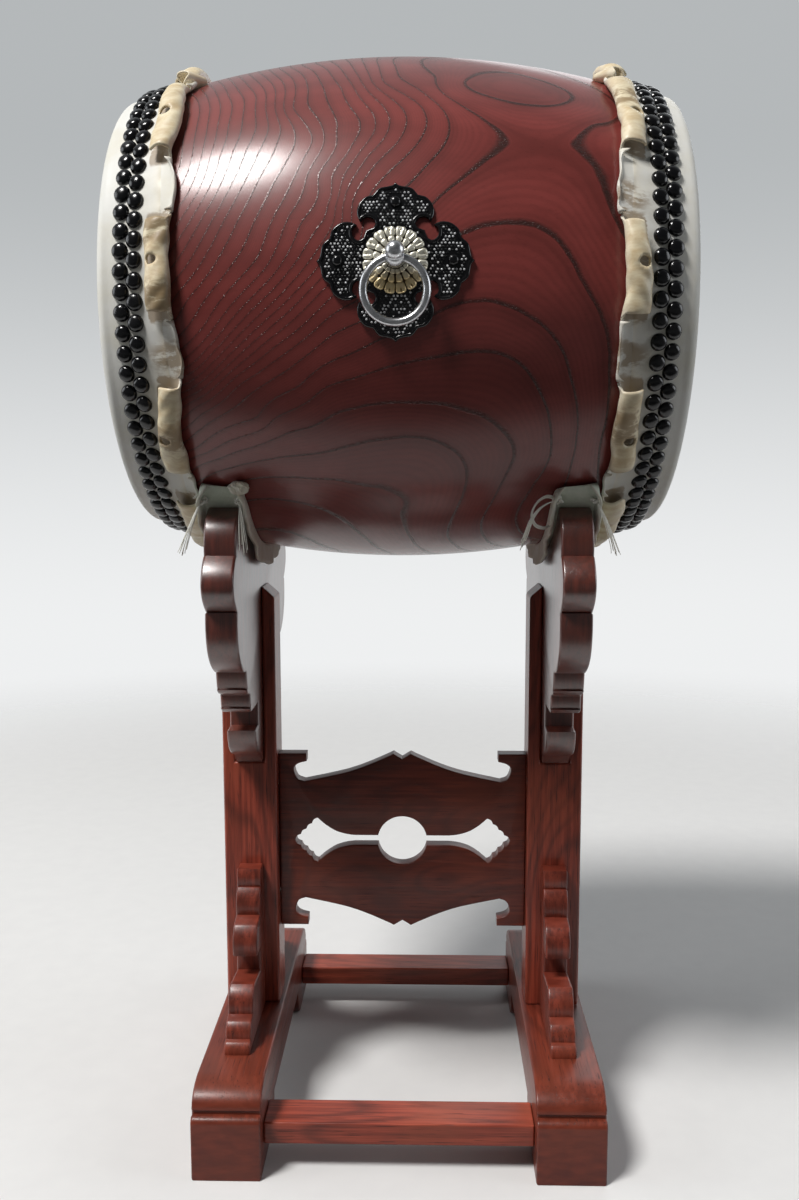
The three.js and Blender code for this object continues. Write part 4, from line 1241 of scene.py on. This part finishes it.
def sawn_board(name, outlines, thickness, ease, place, finish):
    """A board sawn to closed outlines in its own plane, the later ones holes, with eased edges."""
    data = bpy.data.curves.new(name, "CURVE")
    data.dimensions, data.fill_mode = "2D", "BOTH"
    data.extrude, data.bevel_depth, data.offset = thickness / 2 - ease, ease, -ease
    data.bevel_resolution = 4
    for outline in outlines:
        drawn(data, outline, True)
    sketch = added(name + "_sketch", data, finish)
    ready = sketch.evaluated_get(bpy.context.evaluated_depsgraph_get())
    mesh = bpy.data.meshes.new_from_object(ready)
    bpy.data.objects.remove(sketch)
    mesh.name = name
    mesh.transform(place)
    reworked(mesh, made_one)
    made = added(name, mesh, finish)
    smooth(made, board_smooth_angle)
    return made


def made_one(shape):
    """Joins a board's faces and rims, and turns all of them outwards."""
    bmesh.ops.remove_doubles(shape, verts=shape.verts, dist=merge_distance)
    bmesh.ops.dissolve_limit(
        shape, angle_limit=math.radians(0.5), verts=shape.verts, edges=shape.edges
    )
    faced_out(shape)


def faced_out(shape):
    bmesh.ops.recalc_face_normals(shape, faces=shape.faces)


def across_stand(x):
    """The plane of a board that stands along Y at a place across the stand."""
    return Matrix(((0, 0, 1, x), (1, 0, 0, 0), (0, 1, 0, 0), (0, 0, 0, 1)))


def quarter_round(centre, reach):
    """A quarter of an ellipse about a centre, from its top or bottom outwards."""
    turns = np.linspace(0, math.pi / 2, round_steps)
    return [(centre[0] + reach[0] * math.sin(t), centre[1] + reach[1] * math.cos(t)) for t in turns]


sled_nose = quarter_round((sled_flat, nose_foot), (nose_reach - sled_flat, sled_top - nose_foot))
groove_bottom = nose_reach - groove_depth
groove = [(groove_bottom, nose_foot - groove_depth), (groove_bottom, ledge_height)]
ledge_centre = (sled_high.y - ledge_round, ledge_height - ledge_round)
sled_ledge = quarter_round(ledge_centre, (ledge_round, ledge_round))
sled_arch = quarter_round((arch_reach, arch_height), (-arch_run, -arch_height))
sled_edge = sled_nose + groove + sled_ledge + [(sled_high.y, 0)] + sled_arch
sled_outline = sled_edge + [(-u, v) for u, v in sled_edge[::-1]]
for side, sign in side_signs.items():
    place = across_stand(sign * side_centre)
    sled = sawn_board(
        f"floor_sled_{side}", [sled_outline], sled_thickness, sled_ease, place, sled_finish
    )
    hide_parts(f"sled_{side}")
    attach(sled, "stand")

# The carved boards: the cradle arms that run through the posts with clouds at both ends, and the
# brackets that brace the posts on the sleds. Each is sawn from a plank and its rims are rounded.
post_depth = 54 * mm
arm_thickness, arm_ease, arm_reach, arm_foot = 35 * mm, 3 * mm, 200 * mm, 415 * mm
cradle_radius, cradle_half_angle, cradle_points = 275.2 * mm, 0.646, 49
carved_steps = 14
lobe_ledge = 2.6 * mm  # how far each lobe stands out under the one above
bracket_thickness, bracket_ease = 30 * mm, 2.4 * mm
bracket_reach, bracket_height = 128 * mm, 183.5 * mm
arm_finish = finish_of("arm_wood", polished_wood(2, 11, 0.5, gloss=0.7))
bracket_finish = finish_of("wood_along_z", polished_wood(2, 3, 0.85))
# Corners as shares of an arm's reach and of its drop from tip to foot, with each run's bulge.
arm_shares = [
    (0.995, 0.156, 0.2), (0.985, 0.347, 0.35), (0.77, 0.574, 0.2), (0.72, 0.58, 0),
    (0.705, 0.645, 0.04), (0.63, 0.668, 0.12), (0.6, 0.678, 0), (0.597, 0.727, 0.04),
    (0.525, 0.746, 0.12), (0.3, 0.744, 0), (0.3, 0.83, 0), (0.415, 0.835, 0),
    (0.225, 0.953, 0.2), (0.2, 0.959, 0),
]
# The same for a bracket's reach and height, from its top to its toe.
bracket_shares = [
    (0.154, 1, 0), (0.185, 0.878, 0.1), (0.248, 0.704, 0.12), (0.388, 0.68, 0),
    (0.459, 0.48, 0.15), (0.255, 0.48, 0), (0.255, 0.322, 0), (0.66, 0.355, 0),
    (0.771, 0.192, 0.15), (0.857, 0.175, 0), (0.92, 0.077, 0.12), (0.96, 0.07, 0),
    (1, 0, 0.12),
]


def carved_edge(start, corners):
    """Corners of (u, v, bulge share) joined by runs that bulge outwards, with ledges between lobes."""
    edge = [start]
    for index, (u1, v1, bulge) in enumerate(corners):
        u0, v0 = edge[-1]
        steps = carved_steps if bulge else 1
        lobe_next = bulge and index + 1 < len(corners) and corners[index + 1][2]
        end = u1 - lobe_ledge if lobe_next else u1
        for t in (np.arange(steps) + 1) / steps:
            rise = 4 * bulge * t * (1 - t)
            edge.append((u0 + (end - u0) * t + (v1 - v0) * rise, v0 + (v1 - v0) * t - (end - u0) * rise))
        if lobe_next:
            edge.append((u1, v1))
    return edge


def cradle_at(angle):
    """A place on the arm's curved edge, at an angle from straight under the drum's axis."""
    return cradle_radius * math.sin(angle), axis_height - cradle_radius * math.cos(angle)


tip = cradle_at(cradle_half_angle)
arm_drop = tip[1] - arm_foot
arm_corners = [
    (reach * arm_reach, tip[1] - fall * arm_drop, -bulge) for reach, fall, bulge in arm_shares
]
front_edge = carved_edge(tip, arm_corners + [(post_depth / 2, arm_foot, 0)])
cradle_angles = np.linspace(-cradle_half_angle, cradle_half_angle, cradle_points)[1:-1]
cradle_curve = [cradle_at(angle) for angle in cradle_angles]
arm_outline = front_edge + [(-u, v) for u, v in front_edge[::-1]] + cradle_curve
bracket_face = post_depth / 2 + fit
bracket_base = sled_top + fit
bracket_corners = [
    (bracket_face + reach * bracket_reach, bracket_base + rise * bracket_height, -bulge)
    for reach, rise, bulge in bracket_shares
]
bracket_edge = carved_edge((bracket_face, bracket_base + bracket_height), bracket_corners)
bracket_outline = bracket_edge + [(bracket_face, bracket_base)]
for side, sign in side_signs.items():
    place = across_stand(sign * side_centre)
    arm = sawn_board(f"carved_arm_{side}", [arm_outline], arm_thickness, arm_ease, place, arm_finish)
    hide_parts(f"cradle_arm_{side}")
    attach(arm, "stand")
    for end, forward in end_signs.items():
        bracket = sawn_board(
            f"carved_bracket_{end}_{side}",
            [[(-forward * u, v) for u, v in bracket_outline]],
            bracket_thickness,
            bracket_ease,
            place,
            bracket_finish,
        )
        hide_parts(f"foot_bracket_{end}_{side}")
        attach(bracket, "stand")

# The connecting board: a plank between the posts, sawn with horned corners and a peak above and
# below, and pierced by a round hole between two cloud wings.
board_thickness, board_ease = 20 * mm, 1.8 * mm
board_centre = 309 * mm
board_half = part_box("post_right")[0].x - fit
board_half_height = 112 * mm
board_hole, cut_reach, cut_height = 31 * mm, 135.5 * mm, 28.5 * mm
board_finish = finish_of("board_wood", polished_wood(0, 9, 0.66, 5.5, 0.1))
horn_shares = [(1, 1), (0.774, 1), (0.774, 0.91)]
hook_curve_shares = [(0.774, 0.91), (0.845, 0.88), (0.877, 0.82), (0.851, 0.715), (0.793, 0.68)]
long_curve_shares = [(0.793, 0.68), (0.589, 0.74), (0.429, 0.795), (0.269, 0.875), (0.109, 0.973)]
peak_shares = [(0.07, 1), (0, 0.94)]
wing_cusps, wing_slant, cusp_bulge = 4, 0.21, (0.009, 0.045)
neck_shares = [(0.79, 1), (0.717, 0.7), (0.623, 0.42), (0.52, 0.27), (0.44, 0.22)]
curve_points, cusp_points, neck_points, arc_points = 30, 8, 24, 20

upper = np.vstack(
    [
        horn_shares[:-1],
        smooth_route(hook_curve_shares, curve_points)[:-1],
        smooth_route(long_curve_shares, curve_points),
        peak_shares,
    ]
) * (board_half, board_half_height)
up_slant = np.linspace(0, wing_cusps, cusp_points * wing_cusps + 1)[:-1]
out_of_line = np.sin(np.pi * (up_slant % 1))[:, None] * cusp_bulge
up_slant /= wing_cusps
wing = np.column_stack([1 - wing_slant * up_slant, up_slant]) + out_of_line
quarter_up = np.vstack([wing, smooth_route(neck_shares, neck_points)]) * (cut_reach, cut_height)
neck_angle = math.asin(quarter_up[-1, 1] / board_hole)
dome_turn = np.linspace(neck_angle, math.pi / 2, arc_points)
hole_arc = np.column_stack([np.cos(dome_turn), np.sin(dome_turn)]) * board_hole
quarter_up = np.vstack([quarter_up, hole_arc])


def four_ways(part):
    """A quarter that starts on the right and ends on the middle line, made whole."""
    half = np.vstack([part, part[-2::-1] * (-1, 1)])
    under = half[::-1] * (1, -1)
    return np.vstack([half, under[under[:, 1] < 0]])


board_outlines = [four_ways(upper), four_ways(quarter_up)]
facing_front = Matrix(((1, 0, 0, 0), (0, 0, -1, 0), (0, 1, 0, board_centre), (0, 0, 0, 1)))
board = sawn_board(
    "pierced_board", board_outlines, board_thickness, board_ease, facing_front, board_finish
)
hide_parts("connecting_board")
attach(board, "stand")

# The pads: strips of thick grey-green cloth folded over the arms' curved edges, so that the drum
# doesn't rub. The cloth hangs down beside the arm as cream-edged flaps and is tied at the corners.
pad_stations = 110
pad_reach = cradle_half_angle * 7 / 6  # a little past the arms' tips
pad_top_lift = 0.8 * mm
pad_foot = 274.7 * mm
flap_foot = 294.5 * mm
# The string draws the left pad's inner front corner up into a crumpled bunch with pleats.
bunch_angle, bunch_in, bunch_lift = 0.768, 20.5 * mm, 7.6 * mm
bunch_size = np.array((9.6, 7.2, 7.0)) * mm
bunch_pleats, fine_pleats = (6, 0.17), (13, 0.1)
bunch_sides, bunch_rows = 84, 40
# How the flaps' folds and their hems wander along the pad, written as for the hides.
flap_folds, fine_folds = (1.17 * mm, 45, (17, 29, 41)), (0.45 * mm, 55, (71, 97))
flap_hem_wander = (2.4 * mm, 65, (9, 15, 23))
flap_stand_off = 1.1 * mm
# The strings pull at the corners: where along the pad and over what angle, by how much they draw
# the hems up, and the shares by which they still the flaps and pinch the strip.
pull_place, pull_width, corner_pull = pad_reach * 0.94, 0.05, 7 * mm
corner_hold, corner_pinch = 0.8, 0.06
end_angle, end_height, end_width = 0.045, 0.07, 0.55  # a rounded end, and what is left of its section
# Cream shows on the inner side from 19 to 23 mm across and at the hems; less of it at the ends.
cream_from, cream_over, cream_depth, cream_strength = 19, 4, 1.3, 1.2
green_ends = {"left": 0.1, "right": 0.9}
# The folded strip's section: how far across from the arm's middle in mm, and its depth from the
# barrel, 0, through the arm's edge, 1, to the flaps' hems, 2. It starts at the inner flap's hem.
pad_section = [
    (-24.6, 2.0), (-26.4, 1.95), (-26.7, 1.55), (-26.3, 1.1), (-26.2, 0.6), (-25.4, 0.1),
    (-23.5, 0), (-12, 0), (0, 0), (12, 0), (23.5, 0), (25.4, 0.07),
    (26.2, 0.4), (26.3, 0.9), (26.6, 1.5), (26.2, 1.93), (24.4, 2.0), (22.6, 1.93),
    (22.2, 1.5), (21.4, 1.15), (18.3, 1.0), (0, 1.0), (-18.3, 1.0), (-21.4, 1.15),
    (-22.2, 1.5), (-22.8, 1.93),
]


def pad_look(wires):
    faded = wires.node("Attribute", attribute_name="faded", out="Fac")
    weave = threads(wires, 210.0, 1.5) * 0.5 + threads(wires, 210.0, 1.5, "Z") * 0.5
    blotch = clouds(wires, 42.0, 4.0, 0.6)
    green = blend(wires, blotch.between(0.3, 0.7), (0.7, 0.78, 0.64), (0.86, 0.9, 0.78))
    cream = blend(wires, blotch.between(0.3, 0.7), (0.92, 0.9, 0.8), (0.8, 0.76, 0.62))
    return {
        "Base Color": blend(wires, faded, green, cream),
        "Roughness": 0.85,
        "Normal": raised(wires, weave + blotch * 2.0, 0.6 * mm, 0.6),
        "Sheen Weight": 0.25,
    }


def crumpled_bunch():
    """The bunch's points and faces: a pleated ball, pressed flat where the barrel lies on it."""
    ball, faces = ball_net((0, 0, 0), 1, bunch_sides, bunch_rows)
    turn = np.arctan2(ball[:, 1], ball[:, 0])
    pleats = 0
    for count, deep in (bunch_pleats, fine_pleats):
        pleats = pleats + deep * np.sin(count * turn + 3.4 * np.sin(2.1 * ball[:, 2] + count))
    puckered = ball * (1 + pleats * np.hypot(ball[:, 0], ball[:, 1]))[:, None] * bunch_size
    bunch_x = side_centre - bunch_in
    bunch_radius = barrel_radius(bunch_x) + bunch_lift
    points = puckered + on_drum(-bunch_x, bunch_radius, bunch_angle - math.pi / 2 - drum_roll)
    from_axis = np.hypot(points[:, 1], points[:, 2] - axis_height)
    pressed = np.maximum(barrel_radius(points[:, 0]) + fit, from_axis) / from_axis
    points[:, 1] *= pressed
    points[:, 2] = axis_height + (points[:, 2] - axis_height) * pressed
    return points, faces


pad_finish = finish_of("pad_cloth", pad_look)
section = np.array(pad_section)
closed = np.vstack([section[-1:], section, section[:2]])
section = smooth_route(closed, 4 * (len(closed) - 1) + 1)[4:-8]
angle = np.linspace(-pad_reach, pad_reach, pad_stations)[:, None]
pull = np.exp(-(((np.abs(angle) - pull_place) / pull_width) ** 2))
end_round = np.clip((pad_reach - np.abs(angle)) / end_angle, 0, 1)
shrink = np.sqrt(1 - (1 - end_round) ** 2) * (1 - end_height) + end_height
across, depth = section[:, 0][None] * mm, section[:, 1][None]
lower = np.clip(depth - 1, 0, 1)
for side, sign in side_signs.items():
    fold = wander(angle, sign, *flap_folds) + wander(angle, sign, *fine_folds)
    swing = np.sign(across) * lower * (fold + flap_stand_off) * (1 - corner_hold * pull)
    x = side_centre + across * (1 - corner_pinch * pull * (1 - lower)) + swing
    top = barrel_radius(x) + pad_top_lift
    hem = flap_foot + wander(angle, sign, *flap_hem_wander) - corner_pull * pull
    body = top + (pad_foot - top) * np.minimum(depth, 1)
    hanging = pad_foot + (hem - pad_foot) * lower
    radius = np.where(depth < 1, body, hanging)
    x = side_centre + (x - side_centre) * (end_width + (1 - end_width) * shrink)
    middle_radius = (barrel_radius(x) + pad_top_lift + pad_foot) / 2
    radius = middle_radius + (radius - middle_radius) * shrink
    points = on_drum(sign * x, radius, angle - math.pi / 2 - drum_roll)
    count = len(section)
    last = (pad_stations - 1) * count
    ends = [tuple(range(count)), tuple(range(last, last + count))[::-1]]
    faces = net_faces(pad_stations, count) + ends
    points, bunched = points.reshape(-1, 3), 0
    if side == "left":
        bunch = crumpled_bunch()
        bunched = len(bunch[0])
        points, faces = gathered([(points, faces), bunch])
    pad = piece_of(f"folded_pad_{side}", points, faces, pad_finish, 60)
    reworked(pad.data, faced_out)
    inner_side = np.clip((-section[:, 0] - cream_from) / cream_over, 0, 1)
    hems = np.clip(section[:, 1] - cream_depth, 0, 1) * cream_strength
    marks = np.maximum(inner_side * (1 - pull * green_ends[side]), hems).ravel()
    marks = np.concatenate([np.clip(marks, 0, 1), np.ones(bunched)])
    marked(pad, "faded", marks)
    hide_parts(f"cradle_pad_{side}")
    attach(pad, "stand")

# The floor and the light: a pale floor that fades into a pale room. The key lamp is far off, high
# on the left, where the barrel's highlight puts it; weak lamps light the two sides and the back.
room_shade, room_top_shade = (0.86, 0.87, 0.875), (0.46, 0.48, 0.49)
shaded_floor, dark_floor = (0.16, 0.155, 0.15), (0.04, 0.04, 0.04)
floor_radius, floor_middle, floor_drop = 3.2, 0.02, 0.4 * mm
floor_rings, floor_columns = 24, 96
fade_from, fade_to = 0.45, 0.97  # shares of the floor's radius between which it fades out
dark_from, pale_from = -0.95, -0.6  # along Y: in mirrors the floor is dark far in front
lamp_size = 2.4
room_light = 0.095  # strength of the room's own light on the object


def floor_look(wires):
    from_middle = wires.node("VectorMath", {0: place_on(wires)}, out=1, operation="LENGTH")
    straight, mirrored = (wires.node("LightPath", out=f"Is {kind} Ray") for kind in ("Camera", "Glossy"))
    depth = wires.node("SeparateXYZ", {0: place_on(wires)}, out=1)
    seen = wires.maths("MAXIMUM", straight, mirrored * depth.between(dark_from, pale_from))
    grain = clouds(wires, 30.0, 4.0)
    pale = blend(wires, grain, (0.76, 0.76, 0.755), (0.81, 0.81, 0.8))
    return {
        "Base Color": blend(wires, seen, blend(wires, mirrored, shaded_floor, dark_floor), pale),
        "Roughness": 0.55,
        "Specular IOR Level": 0.2,
        "Alpha": from_middle.between(floor_radius * fade_to, floor_radius * fade_from),
    }


radii = np.linspace(floor_middle, floor_radius, floor_rings)[:, None]
way = full_turn(floor_columns)[None]
disc = np.stack([radii * np.cos(way), radii * np.sin(way), 0 * radii * way - floor_drop], -1)
floor_faces = net_faces(floor_rings, floor_columns) + [tuple(range(floor_columns))]
floor = piece_of("floor", disc, floor_faces, finish_of("pale_floor", floor_look))

world = bpy.data.worlds.new("room")
bpy.context.scene.world = world
world.use_nodes = True
room = Wire(world.node_tree)
world.node_tree.nodes.clear()
straight, mirrored, through = (
    room.node("LightPath", out=f"Is {kind} Ray") for kind in ("Camera", "Glossy", "Transmission")
)
ray_way = room.node("TexCoord", out="Generated")
toward_back, upwards = (room.node("SeparateXYZ", {0: ray_way}, out=axis) for axis in (1, 2))
# In mirrors the room is dark behind the camera and bright at the back.
mirrored = mirrored * (0.04 + toward_back.between(-0.25, 0.5) * 0.92)
seen = room.maths("MAXIMUM", straight, room.maths("MAXIMUM", mirrored, through))
strength = room_light + seen * (1 - room_light)
wall = blend(room, upwards.between(-0.15, 0.28), room_shade, room_top_shade)
backdrop = room.node("Background", {"Color": wall, "Strength": strength})
sky_output = world.node_tree.nodes.new("ShaderNodeOutputWorld")
world.node_tree.links.new(backdrop.socket, sky_output.inputs[0])

bpy.context.scene.view_settings.view_transform = "Standard"
drum_middle = Vector((0, 0, axis_height))
# Name, direction from the drum, distance and width in m, power in W, colour.
lamps = [
    ("key_lamp", (-0.4235, -0.369, 0.826), 8.3, 2.3, 740, (1.0, 0.98, 0.96)),
    ("right_lamp", (0.96, -0.08, 0.25), 3.6, lamp_size, 34, (0.93, 0.96, 1.0)),
    ("left_lamp", (-0.96, -0.08, 0.25), 3.6, lamp_size, 36, (0.94, 0.97, 1.0)),
    ("back_lamp", (0.35, 0.85, 0.42), 3.6, lamp_size, 18, (0.96, 0.98, 1.0)),
]
for name, direction, distance, width, power, tint in lamps:
    data = bpy.data.lights.new(name, "AREA")
    data.shape, data.size, data.energy, data.color = "DISK", width, power, tint
    lamp = bpy.data.objects.new(name, data)
    bpy.context.scene.collection.objects.link(lamp)
    toward = Vector(direction).normalized()
    lamp.location = drum_middle + toward * distance
    lamp.rotation_mode = "QUATERNION"
    lamp.rotation_quaternion = toward.to_track_quat("Z", "Y")
